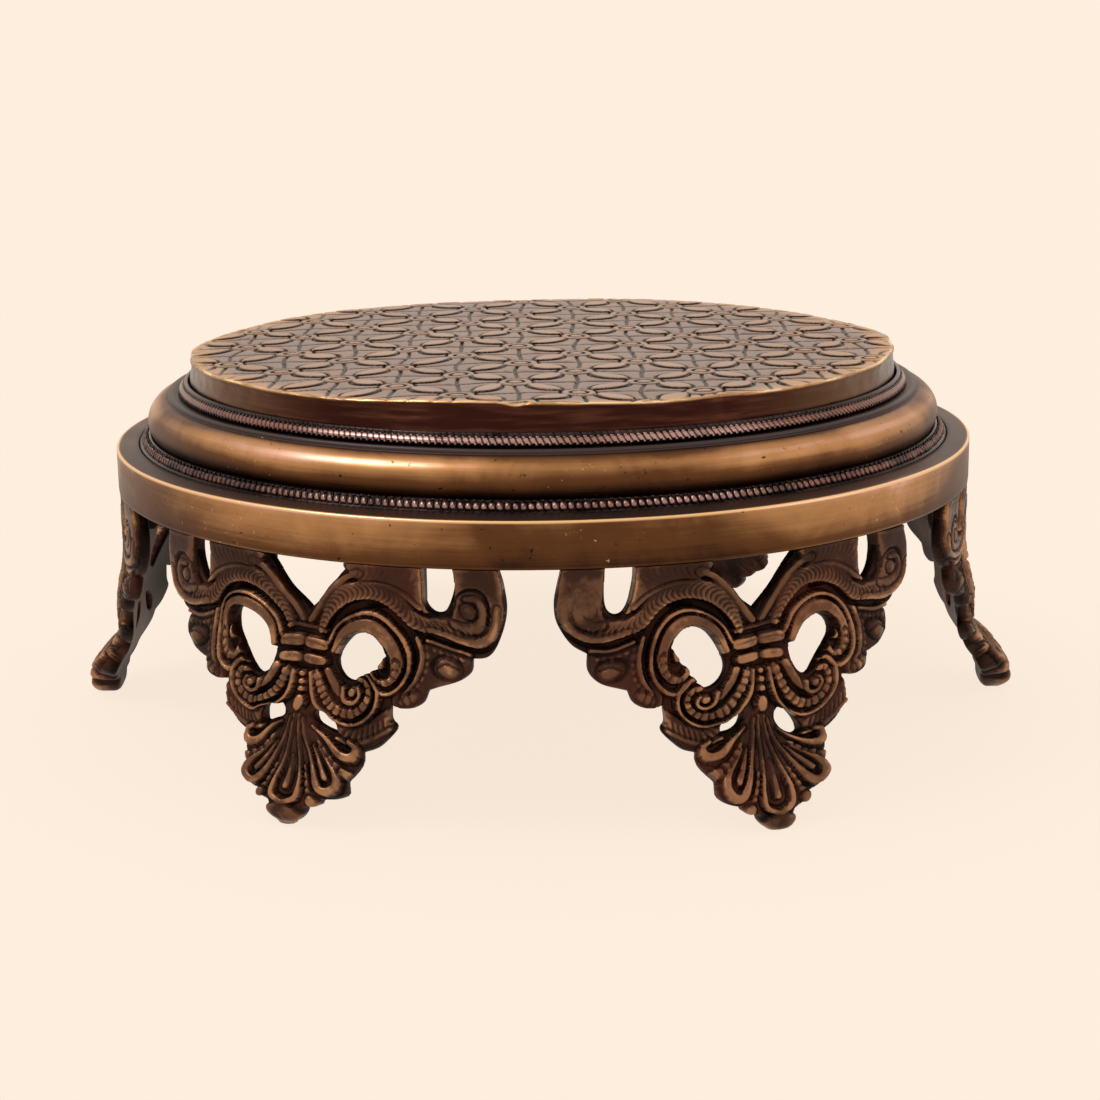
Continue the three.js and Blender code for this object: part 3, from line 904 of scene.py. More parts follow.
def raise_rows(surface: np.ndarray, rows: np.ndarray, levels: np.ndarray) -> None:
    """Raise places of a surface to levels, where they are lower."""
    surface[rows] = np.maximum(surface[rows], levels)


@dataclass(frozen=True)
class Nearest:
    """Points near a stroke's line: their indices, run along it, distance off it and share of its length."""

    here: np.ndarray
    run: np.ndarray
    off: np.ndarray
    share: np.ndarray


@dataclass(frozen=True)
class Stroke:
    """A path of the carver's tool over the leg's drawing: across from its axis, and down."""

    points: tuple[Point, ...]
    width: tuple[float, ...]
    level: float = -0.3

    STEP, MARGIN = 0.45, 2.0

    def nearest(self, across: np.ndarray, down: np.ndarray) -> Nearest:
        """Find the points near the line, and where they lie along it.

        Args:
            across: Across places.
            down: Down places.

        Returns:
            The points, with distances that are negative on the line's right.
        """
        line = smooth_path(self.points, self.STEP)
        reach = max(self.width) + self.MARGIN
        low, high = line.min(0) - reach, line.max(0) + reach
        here = np.flatnonzero((across > low[0]) & (across < high[0]) & (down > low[1]) & (down < high[1]))
        places = np.column_stack([across[here], down[here]])
        steps = np.hypot(*np.diff(line, axis=0).T)
        runs = np.concatenate([[0.0], np.cumsum(steps)])
        best = np.full(len(here), np.inf)
        run, off = np.zeros(len(here)), np.zeros(len(here))
        for index, length in enumerate(steps):
            heading = (line[index + 1] - line[index]) / max(length, 1e-9)
            gap = places - line[index]
            along = np.clip(gap @ heading, 0.0, length)
            distance = np.hypot(*(gap - along[:, None] * heading).T)
            closer = distance < best
            best = np.where(closer, distance, best)
            run = np.where(closer, runs[index] + along, run)
            turn = heading[0] * gap[:, 1] - heading[1] * gap[:, 0]
            off = np.where(closer, np.where(turn < 0.0, -distance, distance), off)
        near = best < reach
        return Nearest(here[near], run[near], off[near], run[near] / max(runs[-1], 1e-9))

    @staticmethod
    def spaced(values: tuple[float, ...], share: np.ndarray) -> np.ndarray:
        """Read values that are evenly spaced along the stroke."""
        return np.interp(share, np.linspace(0.0, 1.0, len(values)), values)

    def cut(self, surface: np.ndarray, across: np.ndarray, down: np.ndarray) -> None:
        """Cut the stroke.

        Args:
            surface: Levels of the carving, changed in place.
            across: Across places.
            down: Down places.
        """
        near = self.nearest(across, down)
        self._carve(surface, near, self.spaced(self.width, near.share))

    def _carve(self, surface: np.ndarray, near: Nearest, half: np.ndarray) -> None:
        """Change the levels of the points near the line.

        Args:
            surface: Levels of the carving, changed in place.
            near: The points near the line.
            half: The stroke's half width at each.
        """
        raise NotImplementedError


@dataclass(frozen=True)
class Ridge(Stroke):
    """A raised rib with a narrow moat on each side."""

    rise: float = 1.4
    moat: float = 0.5
    moat_width: float = 0.8
    flatness: float = 2.0
    sink: tuple[float, ...] = (0.0,)

    def _carve(self, surface: np.ndarray, near: Nearest, half: np.ndarray) -> None:
        """Raise the rib and sink its moat.

        Args:
            surface: Levels of the carving, changed in place.
            near: The points near the line.
            half: The stroke's half width at each.
        """
        off = np.abs(near.off)
        inside = off < half
        beside = ~inside & (off < half + self.moat_width)
        dip = self.moat * np.sin(np.pi * np.clip((off - half) / self.moat_width, 0.0, 1.0))
        surface[near.here[beside]] -= dip[beside]
        top = self.level - self.spaced(self.sink, near.share)
        crown = domed(top, self.rise, (off / half) ** self.flatness)
        raise_rows(surface, near.here[inside], crown[inside])


@dataclass(frozen=True)
class Beads(Stroke):
    """A row of beads in a channel."""

    pitch: float = 2.0
    rise: float = 1.1
    seed: int = 1
    flatness: float = 2.0

    def _carve(self, surface: np.ndarray, near: Nearest, half: np.ndarray) -> None:
        """Sink the channel and raise the beads in it.

        Args:
            surface: Levels of the carving, changed in place.
            near: The points near the line.
            half: The stroke's half width at each.
        """
        off = np.abs(near.off)
        inside = off < half
        number = np.floor(near.run / self.pitch).astype(int)
        rng = np.random.default_rng(self.seed)
        size, lift = (rng.uniform(low, high, number.max(initial=0) + 2)[number]
                      for low, high in ((0.8, 1.08), (-0.22, 0.1)))
        along = (near.run / self.pitch - number - 0.5) * self.pitch
        spread = (np.abs(along / (self.pitch * 0.5 * size)) ** self.flatness
                  + (off / (half * size)) ** self.flatness)
        dome = domed(self.level + lift, self.rise, spread)
        rows = near.here[inside]
        surface[rows] = np.minimum(surface[rows], self.level - self.rise)
        raise_rows(surface, rows, dome[inside])


@dataclass(frozen=True)
class Hatch(Stroke):
    """A rounded band cut across by small curved chisel strokes."""

    pitch: float = 1.9
    rise: float = 0.8
    bite: float = 0.55
    lean: float = 0.5
    bow: float = 0.0
    raised: bool = True

    def _carve(self, surface: np.ndarray, near: Nearest, half: np.ndarray) -> None:
        """Raise the band and cut the strokes over it.

        Args:
            surface: Levels of the carving, changed in place.
            near: The points near the line.
            half: The stroke's half width at each.
        """
        inside = np.abs(near.off) < half
        rows = near.here[inside]
        ratio = (near.off / half)[inside]
        if self.raised:
            raise_rows(surface, rows, domed(self.level, self.rise, ratio**4))
        phase = (near.run + self.lean * near.off + self.bow * near.off**2 / half)[inside] / self.pitch
        tooth = phase - np.floor(phase)
        cut = np.exp(-(((tooth - 0.5) / 0.2) ** 2)) * (1.0 - ratio**4)
        surface[rows] -= self.bite * cut


@dataclass(frozen=True)
class Groove(Stroke):
    """A cut line."""

    depth: float = 1.2

    def _carve(self, surface: np.ndarray, near: Nearest, half: np.ndarray) -> None:
        """Sink the line."""
        inside = np.abs(near.off) < half
        surface[near.here[inside]] -= self.depth * (1.0 - (near.off / half)[inside] ** 2)


@dataclass(frozen=True)
class Boss:
    """A rounded knob or lozenge."""

    place: Point
    size: tuple[float, float]
    turn: float = 0.0
    level: float = 0.0
    rise: float = 1.8
    flatness: float = 2.0
    moat: float = 0.6

    MOAT_SPREAD = 0.8

    def cut(self, surface: np.ndarray, across: np.ndarray, down: np.ndarray) -> None:
        """Raise the knob and sink a moat round it.

        Args:
            surface: Levels of the carving, changed in place.
            across: Across places.
            down: Down places.
        """
        cos_turn, sin_turn = math.cos(math.radians(self.turn)), math.sin(math.radians(self.turn))
        gap_a, gap_d = across - self.place[0], down - self.place[1]
        spread = (np.abs(2.0 * (gap_a * cos_turn + gap_d * sin_turn) / self.size[0]) ** self.flatness
                  + np.abs(2.0 * (gap_d * cos_turn - gap_a * sin_turn) / self.size[1]) ** self.flatness)
        inside = spread < 1.0
        ring = ~inside & (spread < 1.0 + self.MOAT_SPREAD)
        surface[ring] -= self.moat * np.sin(np.pi * (spread[ring] - 1.0) / self.MOAT_SPREAD)
        raise_rows(surface, inside, domed(self.level, self.rise, spread[inside]))


@dataclass(frozen=True)
class Slab:
    """A broad raised field inside a closed outline."""

    points: tuple[Point, ...]
    level: float
    rise: float
    soft: float

    def cut(self, surface: np.ndarray, across: np.ndarray, down: np.ndarray) -> None:
        """Raise the field, rounded towards its outline.

        Args:
            surface: Levels of the carving, changed in place.
            across: Across places.
            down: Down places.
        """
        loop = smooth_path(self.points, 1.0, closed=True)
        low, high = loop.min(0), loop.max(0)
        here = np.flatnonzero((across > low[0]) & (across < high[0]) & (down > low[1]) & (down < high[1]))
        depth = ring_distance(loop, across[here], down[here])
        inside = depth > 0.0
        share = np.clip(depth[inside] / self.soft, 0.0, 1.0)
        raise_rows(surface, here[inside], domed(self.level, self.rise, (1.0 - share) ** 2))


Carving = Union[Stroke, Boss, Slab]


@dataclass
class LegDrawing:
    """The carver's drawing of half a leg, in millimetres across from its axis and down from the apron."""

    ground: float = -2.7
    floor: float = -3.6

    SIZE = (66.5, 87.0)
    STEP, BEYOND_TOE = 0.8, (1.6, 92.0)
    RIPPLES, RIPPLE_HEIGHT = (11, 9, 26.0, 7.0), 0.25
    FLUSH_DEPTH, FLUSH_LEVEL = 1.6, -0.12
    OUTLINE = (
        ((0, 17), (6, 11.5), (10.5, 6.5), (16, 0), (16, -4)),
        ((40.5, -4), (40.5, 0), (40.8, 6), (42, 11.5), (44.5, 14.8), (47.5, 14.8), (50, 11.5),
         (50.8, 6), (50.3, 0), (50.3, -4)),
        ((64.3, -4), (64.3, 0), (66, 6), (66.5, 12), (65, 18), (60.5, 23.5), (55, 26)),
        ((55, 26), (55.3, 31), (52, 35), (45.5, 37.5), (43, 38.5)),
        ((43, 38.5), (41.3, 43), (36.5, 45), (31.5, 44)),
        ((31.5, 44), (31.5, 49.5), (33, 52.5), (27.5, 56.5), (21.5, 58)),
        ((21.5, 58), (21.5, 61), (18, 66)),
        ((18, 66), (19, 71), (15.5, 74.5), (11.5, 76)),
        ((11.5, 76), (10.5, 79.2), (6.5, 81)),
        ((6.5, 81), (6.0, 83.8), (4.4, 86.0), (2.6, 87.3)),
    )
    HOLES = (
        ((13, 27.5), (17, 22.3), (23, 21), (28.3, 24), (29.5, 28), (26, 31.5), (21, 36), (17, 39),
         (13.3, 37.5), (11.5, 33)),
        ((5.8, 49.6), (9, 48.9), (12.7, 52.0), (13.7, 55.4), (10.2, 55.8), (6.5, 53.4)),
    )
    FIELDS = (
        Slab(((17, -3), (41.5, -3), (41.8, 8), (44, 14.5), (38, 12.5), (33, 8.6), (27, 6), (20, 5.6),
              (16.5, 3)), -0.35, 1.0, 1.2),
        Slab(((50.8, -3), (64.6, -3), (66, 8), (65, 16), (60, 21.5), (52, 23), (44, 21), (39, 17.5),
              (44.5, 16), (50, 15.6), (51.4, 9)), -0.5, 1.0, 1.2),
        Slab(((42, 22), (54, 25), (54.5, 32), (50, 36), (43, 38), (39, 34), (40, 27)), -1.7, 1.0, 2.0),
        Slab(((33, 36), (42, 36), (41, 43), (36, 45), (32, 43)), -1.5, 1.0, 1.6),
        Slab(((12, 52), (24, 49), (32, 45), (32, 52), (27, 56), (18, 58), (14, 56)), -1.5, 1.0, 1.6),
        Slab(((0, 48), (5, 52), (10, 57), (16, 59), (21, 57), (20, 62), (17.5, 66), (18, 71), (11, 76),
              (6, 82), (3, 88), (-3, 88), (-8, 76), (-8, 56)), -2.0, 0.7, 2.0),
        Slab(((0, 18), (5, 14), (9, 19), (6.5, 24), (0, 24), (-5, 22)), -1.6, 0.8, 1.6),
    )
    UPPER_SCROLL = (
        Hatch(((19, 3), (26, 2.2), (33, 2.4), (39, 4)), (2.2, 2.8, 2.2), -0.4, pitch=2.1, bite=0.28,
              lean=0.35, bow=0.6, raised=False),
        Ridge(((1.5, 20), (5.5, 14.5), (10, 9.4), (15.5, 4.9), (20, 3.2)), (1.3, 1.5, 1.2), -0.5,
              rise=1.1),
        Beads(((4.5, 20.5), (7.5, 15.6), (11.5, 10.8), (16.5, 7.2)), (0.8,), -0.9, pitch=1.7, rise=0.6),
        Ridge(((17, 7.2), (27, 6.4), (35, 8.8), (41, 13)), (0.7,), -0.1, rise=0.7, moat=0.6),
        Hatch(((6, 22), (9, 15.6), (14, 10.8), (20, 8.8), (27, 9.2), (33, 11.8), (37.5, 16), (43, 18.8),
               (49, 19.6), (55, 18.3)), (1.4, 2.5, 3.1, 3.1, 2.9, 2.4, 1.6), -0.15, pitch=1.9, bite=0.6,
              lean=-0.3, bow=0.9),
        Groove(((7, 25), (10, 19.2), (15, 14.9), (22, 13), (28.5, 13.9), (34, 17.2), (37.4, 22),
                (38.8, 28), (37.5, 35)), (1.2, 1.5, 1.4, 1.0), depth=1.4),
        Ridge(((9.2, 25.5), (12.2, 19.9), (17, 16.6), (23, 15.3), (29, 16.7), (33.8, 20.6), (36.2, 26),
               (36.4, 32), (34, 37.2), (29.5, 39.8), (26, 38.6), (24, 36.4)), (0.75,), -0.25, rise=0.9),
        Ridge(((11.6, 28), (14.2, 22), (19, 18.9), (25, 18.9), (30, 21.8), (32.9, 26.7), (32.9, 31.7),
               (30.4, 35.2), (27, 35.5), (25, 33.2), (25.4, 30)), (1.2, 1.9, 2.1, 2.1, 1.7, 1.2, 0.8),
              -0.15, rise=1.5, flatness=3.0),
        Beads(((33.2, 28.5), (32.8, 31.7), (30.6, 34.8), (27.4, 35.6)), (1.1,), -0.1, pitch=2.5,
              rise=0.9),
        Boss((28.4, 28.4), (3.0, 5.4), -15.0, 0.1, 1.6),
        Groove(((29.9, 24.6), (31, 27.5), (30.5, 31)), (0.7,), depth=1.2),
        Ridge(((38.8, 22.5), (40, 28.5), (38.8, 35), (35.6, 40)), (0.8, 1.0, 0.7), -0.6, rise=1.0),
        Beads(((41.2, 24.5), (41.7, 30), (40.9, 35), (37.5, 40)), (0.9,), -0.9, pitch=2.3, rise=0.8),
    )
    HORN = (
        Groove(((40.5, 21.6), (48, 23.4), (56, 23), (62, 20.6)), (0.9,), depth=1.1),
        Groove(((51.6, 12.6), (52.6, 8.6), (56, 6.6), (60, 8.0), (61.6, 12), (60.6, 16)), (0.5, 0.8, 0.5),
               depth=1.1),
        Ridge(((50.5, 17.4), (54, 17.8), (58, 16.6), (59.8, 13), (58.4, 9.8), (55, 9.6)),
              (0.9, 1.3, 1.2, 0.7), -0.25, rise=0.8, moat=0.8, moat_width=0.9),
        Boss((55.6, 13.2), (4.4, 4.0), 20.0, -0.1, 1.4, moat=0.9),
        *(Groove(ends, (0.4,), depth=0.5) for ends in (
            ((47, 18.6), (47.6, 21)), ((50, 19.0), (50.6, 21.6)), ((53, 19.2), (53.6, 21.6)),
            ((56, 18.6), (57, 21.0)))),
        Ridge(((43, 20), (51, 21.6), (58, 20.4), (62.4, 17.2), (64, 12)), (0.9, 1.2, 0.8), -0.1,
              rise=0.9),
        Ridge(((41.5, 23.4), (48, 25), (54, 24.8)), (0.7,), -0.9, rise=0.8),
        Beads(((42.5, 26), (47, 27.2), (52.5, 27.4)), (0.9,), -1.0, pitch=2.2, rise=0.8),
        Boss((48.2, 31.2), (8.6, 6.2), 12.0, -0.3, 2.4),
        Groove(((45, 31.5), (48, 30), (52, 31)), (0.5,), depth=0.7),
        Boss((37.6, 41.2), (7.0, 4.0), -25.0, -0.5, 1.8),
        *(Groove(ends, (0.45,), depth=0.6) for ends in (
            ((35.5, 41), (36.5, 43.5)), ((37.5, 39.5), (38.8, 42.5)))),
    )
    LOWER_SCROLL = (
        Ridge(((2.8, 36), (3.8, 42), (6.2, 46.6), (11, 50.2), (17, 51.6), (22.4, 50), (26.2, 46.4),
               (27.2, 42), (26.2, 38.2), (23.6, 35.6), (20.4, 35.2)), (0.7, 0.6, 0.8), -0.35, rise=0.9),
        Beads(((4.8, 35.5), (6.4, 40), (8.8, 43.8), (12, 46.8), (16.5, 48.4), (20.6, 47.3), (23.4, 44.4),
               (23.9, 41), (22.4, 38.4), (19.4, 37.9)), (1.3, 1.6, 1.7, 1.4, 1.0), -0.25, pitch=2.45,
              rise=1.1, seed=4, flatness=3.5),
        Ridge(((8.6, 35), (10.2, 38.4), (12.8, 42), (15.6, 44)), (1.6, 1.5, 0.9), -0.4, rise=1.4),
        Ridge(((14.6, 41), (15.8, 44.4), (19, 45), (20.9, 42.8), (19.8, 40.6)), (0.8, 0.9, 0.6), -0.1,
              rise=1.1),
        Boss((18.2, 42.2), (3.0, 3.0), 0.0, 0.25, 1.4),
        Hatch(((15.5, 54.2), (21, 54), (27, 51.6), (31.4, 49.2)), (1.5, 2.2, 1.5), -0.8, pitch=2.0,
              bite=0.8, lean=0.6),
        Ridge(((13.8, 57), (19, 56.6), (26, 54.6), (31.6, 52)), (0.6,), -1.0, rise=0.8),
    )
    AXIS = (
        Boss((4.6, 26.6), (9.6, 4.4), 2.0, 0.3, 1.8, 3.0),
        Boss((4.2, 31.6), (8.4, 3.8), 4.0, 0.1, 1.6, 3.0),
        Groove(((1, 26), (5, 26.3), (8, 26.8)), (0.4,), depth=0.4),
        Ridge(((0, 22.2), (3.5, 22), (7.5, 22.6)), (0.7,), -0.9, rise=0.8),
        *(Boss((0, down), (size, size), 0.0, level, 0.9)
          for down, size, level in ((36.4, 2.2, -0.6), (39.0, 2.3, -0.5), (41.6, 2.4, -0.5))),
        Boss((0, 46.6), (3.8, 6.6), 0.0, -0.1, 1.5),
    )
    FAN = (
        Slab(((0, 47), (3.6, 53), (6, 60), (5.2, 67), (0, 70), (-5.2, 67), (-6, 60), (-3.6, 53)),
             -1.1, 1.0, 3.6),
        Ridge(((1.0, 51.0), (1.7, 60), (3.1, 67), (4.5, 72.6), (4.2, 77.6), (0, 80.4)),
              (0.4, 0.5, 0.8, 1.3), 0.0, rise=1.3, moat=0.8, sink=(1.1, 0.9, 0.5, 0.1, 0.0)),
        Ridge(((0, 64), (0, 69), (0, 74.4)), (0.4, 1.0, 1.3), -0.5, rise=1.0, moat=0.6,
              sink=(1.0, 0.3, 0.0)),
        Ridge(((2.2, 52), (3.6, 58), (6.2, 63.7), (8.8, 68.9), (11.4, 72.2), (14.2, 72.4), (16.3, 69.8),
               (15.0, 66), (11.8, 63), (8.4, 60.4)), (0.4, 0.6, 0.8, 1.5, 1.7, 1.2, 0.6), -0.1, rise=1.3,
              moat=0.7, flatness=3.0, sink=(1.2, 0.9, 0.4, 0.0, 0.0, 0.3, 1.0)),
        Ridge(((6.4, 60.2), (9, 64), (12.0, 68.2)), (0.4, 0.9, 1.1), -0.35, rise=0.9, flatness=3.0,
              sink=(1.0, 0.3, 0.0)),
        Ridge(((5.5, 54.6), (10, 57.8), (15, 60.4), (19.2, 60.0), (20.1, 57.4), (18.0, 56.4)),
              (0.4, 0.7, 1.3, 1.5, 0.8), -0.25, rise=1.1, moat=0.7, flatness=3.0,
              sink=(1.2, 0.5, 0.1, 0.0, 0.2)),
        Beads(((7.5, 58.6), (11, 61.4), (14.8, 63.6), (18.4, 65.2)), (0.5, 0.9, 1.5), -0.8, pitch=2.4,
              rise=0.9, flatness=2.6),
        Beads(((4.6, 66), (6.1, 70.0), (7.9, 74.0), (9.9, 77.8)), (0.5, 0.9, 1.6), -0.65, pitch=2.5,
              rise=1.0, seed=7, flatness=2.6),
        Boss((9.4, 77.2), (3.6, 4.4), -20.0, -0.5, 1.2),
        Boss((17.6, 65.0), (4.4, 3.0), 20.0, -0.6, 1.1),
        Boss((0, 85.0), (12.6, 9.2), 0.0, 0.9, 2.4, 2.4, 0.0),
    )

    def strokes(self) -> list[Carving]:
        """List the carving in the order it is cut."""
        return [*self.FIELDS, *self.UPPER_SCROLL, *self.HORN, *self.LOWER_SCROLL, *self.AXIS, *self.FAN]

    def level(self, across: np.ndarray, down: np.ndarray) -> np.ndarray:
        """Level of the carved face over the plain face.

        Args:
            across: Across places, of either half.
            down: Down places.

        Returns:
            The levels, zero or below for most of the face.
        """
        across = np.abs(across)
        surface = np.full(across.shape, self.ground)
        surface += self.RIPPLE_HEIGHT * waves(*self.RIPPLES)(across, down)
        for stroke in self.strokes():
            stroke.cut(surface, across, down)
        surface = np.maximum(surface, self.floor)
        flush = 1.0 - smooth_step(0.0, self.FLUSH_DEPTH, down)
        return surface * (1.0 - flush) + self.FLUSH_LEVEL * flush

    def edge_distance(self, across: np.ndarray, down: np.ndarray) -> np.ndarray:
        """Signed distance to the outline and the holes, positive in the metal.

        Args:
            across: Across places, of either half.
            down: Down places.

        Returns:
            The distances, for an outline that runs on above the apron's edge.
        """
        half = np.vstack([*(smooth_path(run, self.STEP) for run in self.OUTLINE), [self.BEYOND_TOE]])
        mirrored = half[::-1] * np.array([-1.0, 1.0])
        loop = np.vstack([half, mirrored])
        distance = ring_distance(loop, across, down)
        for hole in self.HOLES:
            outline = smooth_path(hole, self.STEP, closed=True)
            distance = np.minimum(distance, -ring_distance(outline, np.abs(across), down))
        return distance


@dataclass
class FlatSheet:
    """A flat sheet of triangles cut from a grid along a line where a measure turns zero."""

    places: np.ndarray
    triangles: np.ndarray
    rim: np.ndarray

    SNAP, LEAST_STEEP = 0.3, 0.04

    @classmethod
    def cut(cls, measure: Callable[[np.ndarray, np.ndarray], np.ndarray], low: Point, high: Point,
            step: float) -> "FlatSheet":
        """Cut the sheet.

        Args:
            measure: Positive inside the sheet.
            low: Lowest corner of the grid.
            high: Highest corner of the grid.
            step: The grid's spacing.

        Returns:
            The sheet, with its rim's directed edges.
        """
        columns, rows = (int(round((end - start) / step)) + 1 for start, end in zip(low, high))
        grid_x, grid_y = np.meshgrid(low[0] + step * np.arange(columns), low[1] + step * np.arange(rows))
        value = measure(grid_x, grid_y)
        slope_y, slope_x = np.gradient(value, step)
        steep = np.maximum(slope_x**2 + slope_y**2, cls.LEAST_STEEP)
        near = np.abs(value) < cls.SNAP * step * np.sqrt(steep)
        grid_x = np.where(near, grid_x - value * slope_x / steep, grid_x)
        grid_y = np.where(near, grid_y - value * slope_y / steep, grid_y)
        value = np.where(near, 0.0, value).ravel()
        places = np.column_stack([grid_x.ravel(), grid_y.ravel()])
        triangles = cls._grid_triangles(rows, columns)
        signs = np.sign(value[triangles])
        kept = (signs.max(1) > 0) & (signs.min(1) >= 0)
        split = (signs.max(1) > 0) & (signs.min(1) < 0)
        pieces, crossings = cls._split(triangles[split], places, value)
        used, flat = np.unique(np.vstack([triangles[kept], pieces]), return_inverse=True)
        triangles = flat.reshape(-1, 3)
        return cls(np.vstack([places, crossings])[used], triangles, cls._rim_edges(triangles, len(used)))

    @staticmethod
    def _grid_triangles(rows: int, columns: int) -> np.ndarray:
        """Halve each cell of a grid, along diagonals that turn from cell to cell.

        Args:
            rows: How many rows of points it has.
            columns: How many columns.

        Returns:
            The triangles' corners.
        """
        index = np.arange(rows * columns).reshape(rows, columns)
        a, b, c, d = (corners.ravel() for corners in (
            index[:-1, :-1], index[:-1, 1:], index[1:, 1:], index[1:, :-1]))
        even = ((a // columns + a % columns) % 2 == 0)[:, None]
        first = np.where(even, np.column_stack([a, b, c]), np.column_stack([a, b, d]))
        second = np.where(even, np.column_stack([a, c, d]), np.column_stack([b, c, d]))
        return np.vstack([first, second])

    @staticmethod
    def _split(triangles: np.ndarray, places: np.ndarray, value: np.ndarray) -> tuple[np.ndarray, np.ndarray]:
        """Keep the inner part of the triangles that the line crosses.

        Args:
            triangles: The crossed triangles.
            places: The grid's points.
            value: The measure at each.

        Returns:
            The inner triangles, and the points on the line, numbered on from the grid's.
        """
        extra: list[np.ndarray] = []
        crossings: dict[tuple[int, int], int] = {}

        def crossing(one: int, two: int) -> int:
            """Index of the point where the measure is zero between two grid points.

            Args:
                one: One of them.
                two: The other.

            Returns:
                The index.
            """
            key = (min(one, two), max(one, two))
            if key not in crossings:
                share = value[key[0]] / (value[key[0]] - value[key[1]])
                crossings[key] = len(places) + len(extra)
                extra.append(places[key[0]] * (1 - share) + places[key[1]] * share)
            return crossings[key]

        pieces: list[tuple[int, int, int]] = []
        for triangle in triangles.tolist():
            ring: list[int] = []
            for one, two in zip(triangle, triangle[1:] + triangle[:1]):
                if value[one] >= 0:
                    ring.append(one)
                if value[one] * value[two] < 0:
                    ring.append(crossing(one, two))
            pieces += [(ring[0], ring[i], ring[i + 1]) for i in range(1, len(ring) - 1)]
        return np.array(pieces, int).reshape(-1, 3), np.array(extra).reshape(-1, 2)

    @staticmethod
    def _rim_edges(triangles: np.ndarray, count: int) -> np.ndarray:
        """Find the directed edges that only one triangle has.

        Args:
            triangles: The sheet's triangles.
            count: How many points it has.

        Returns:
            The edges.
        """
        edges = np.vstack([triangles[:, [0, 1]], triangles[:, [1, 2]], triangles[:, [2, 0]]])
        forward = edges[:, 0] * count + edges[:, 1]
        backward = edges[:, 1] * count + edges[:, 0]
        return edges[~np.isin(forward, backward)]


@dataclass
class LegSetting:
    """Where the flat drawing lies on the table: round the apron and down the leg's side profile."""

    radius: float
    height: float
    half_width: float
    kick: float
    thickness: float = 6.4
    foot_thickness: float = 9.5
    ankle: float = 0.4

    TAB, LEAN, BELLY, ANKLE, INSTEP, ARCH, TOE = 0.8, 0.27, 0.62, 0.4, 0.24, 0.22, 0.06
    SAMPLES = 120
    SLOPE_RUN = 0.6

    def __post_init__(self) -> None:
        """Draw the side profile once."""
        def at(kick: float, height: float) -> np.ndarray:
            """Point at shares of the kick and the height."""
            return np.array([self.radius + self.kick * kick, self.height * height])

        def bend(*poles: np.ndarray) -> np.ndarray:
            """Cubic curve over four poles.

            Args:
                poles: The four poles.

            Returns:
                Points along the curve, without its first.
            """
            share = np.linspace(0.0, 1.0, self.SAMPLES)[1:, None]
            return ((1 - share) ** 3 * poles[0] + 3 * (1 - share) ** 2 * share * poles[1]
                    + 3 * (1 - share) * share**2 * poles[2] + share**3 * poles[3])

        self.line = np.vstack([
            at(0, 1), at(0, self.TAB),
            bend(at(0, self.TAB), at(0, self.BELLY), at(self.LEAN, self.BELLY), at(self.LEAN, self.ANKLE)),
            bend(at(self.LEAN, self.ANKLE), at(self.LEAN, self.INSTEP), at(1, self.ARCH), at(1, self.TOE)),
            at(1, 0)])
        self.runs = np.concatenate([[0.0], np.cumsum(np.hypot(*np.diff(self.line, axis=0).T))])
        self.drop = float(self.runs[-1])

    def wall(self, down: np.ndarray) -> np.ndarray:
        """Thickness of the casting at each place down the leg."""
        share = smooth_step(1.0 - self.ankle, 1.0, down / self.drop)
        return self.thickness + (self.foot_thickness - self.thickness) * share

    def place(self, across: np.ndarray, down: np.ndarray, out: np.ndarray, middle: float) -> np.ndarray:
        """Bend drawing places onto the table.

        Args:
            across: Across the leg, positive anticlockwise from above.
            down: Down its outer face.
            out: Outwards from that face.
            middle: Angle of the leg's middle in radians.

        Returns:
            The points in millimetres.
        """
        def along(extra: float) -> np.ndarray:
            """Point of the profile a little before or after each place."""
            run = np.clip(np.clip(down, 0.0, self.drop) + extra, 0.0, self.drop)
            return np.array([np.interp(run, self.runs, column) for column in self.line.T])

        slope = along(self.SLOPE_RUN) - along(-self.SLOPE_RUN)
        slope /= np.hypot(*slope)
        reach, rise = along(0.0) + np.array([-slope[1], slope[0]]) * out
        angle = middle + across / self.radius
        return np.column_stack([reach * np.cos(angle), reach * np.sin(angle), rise])


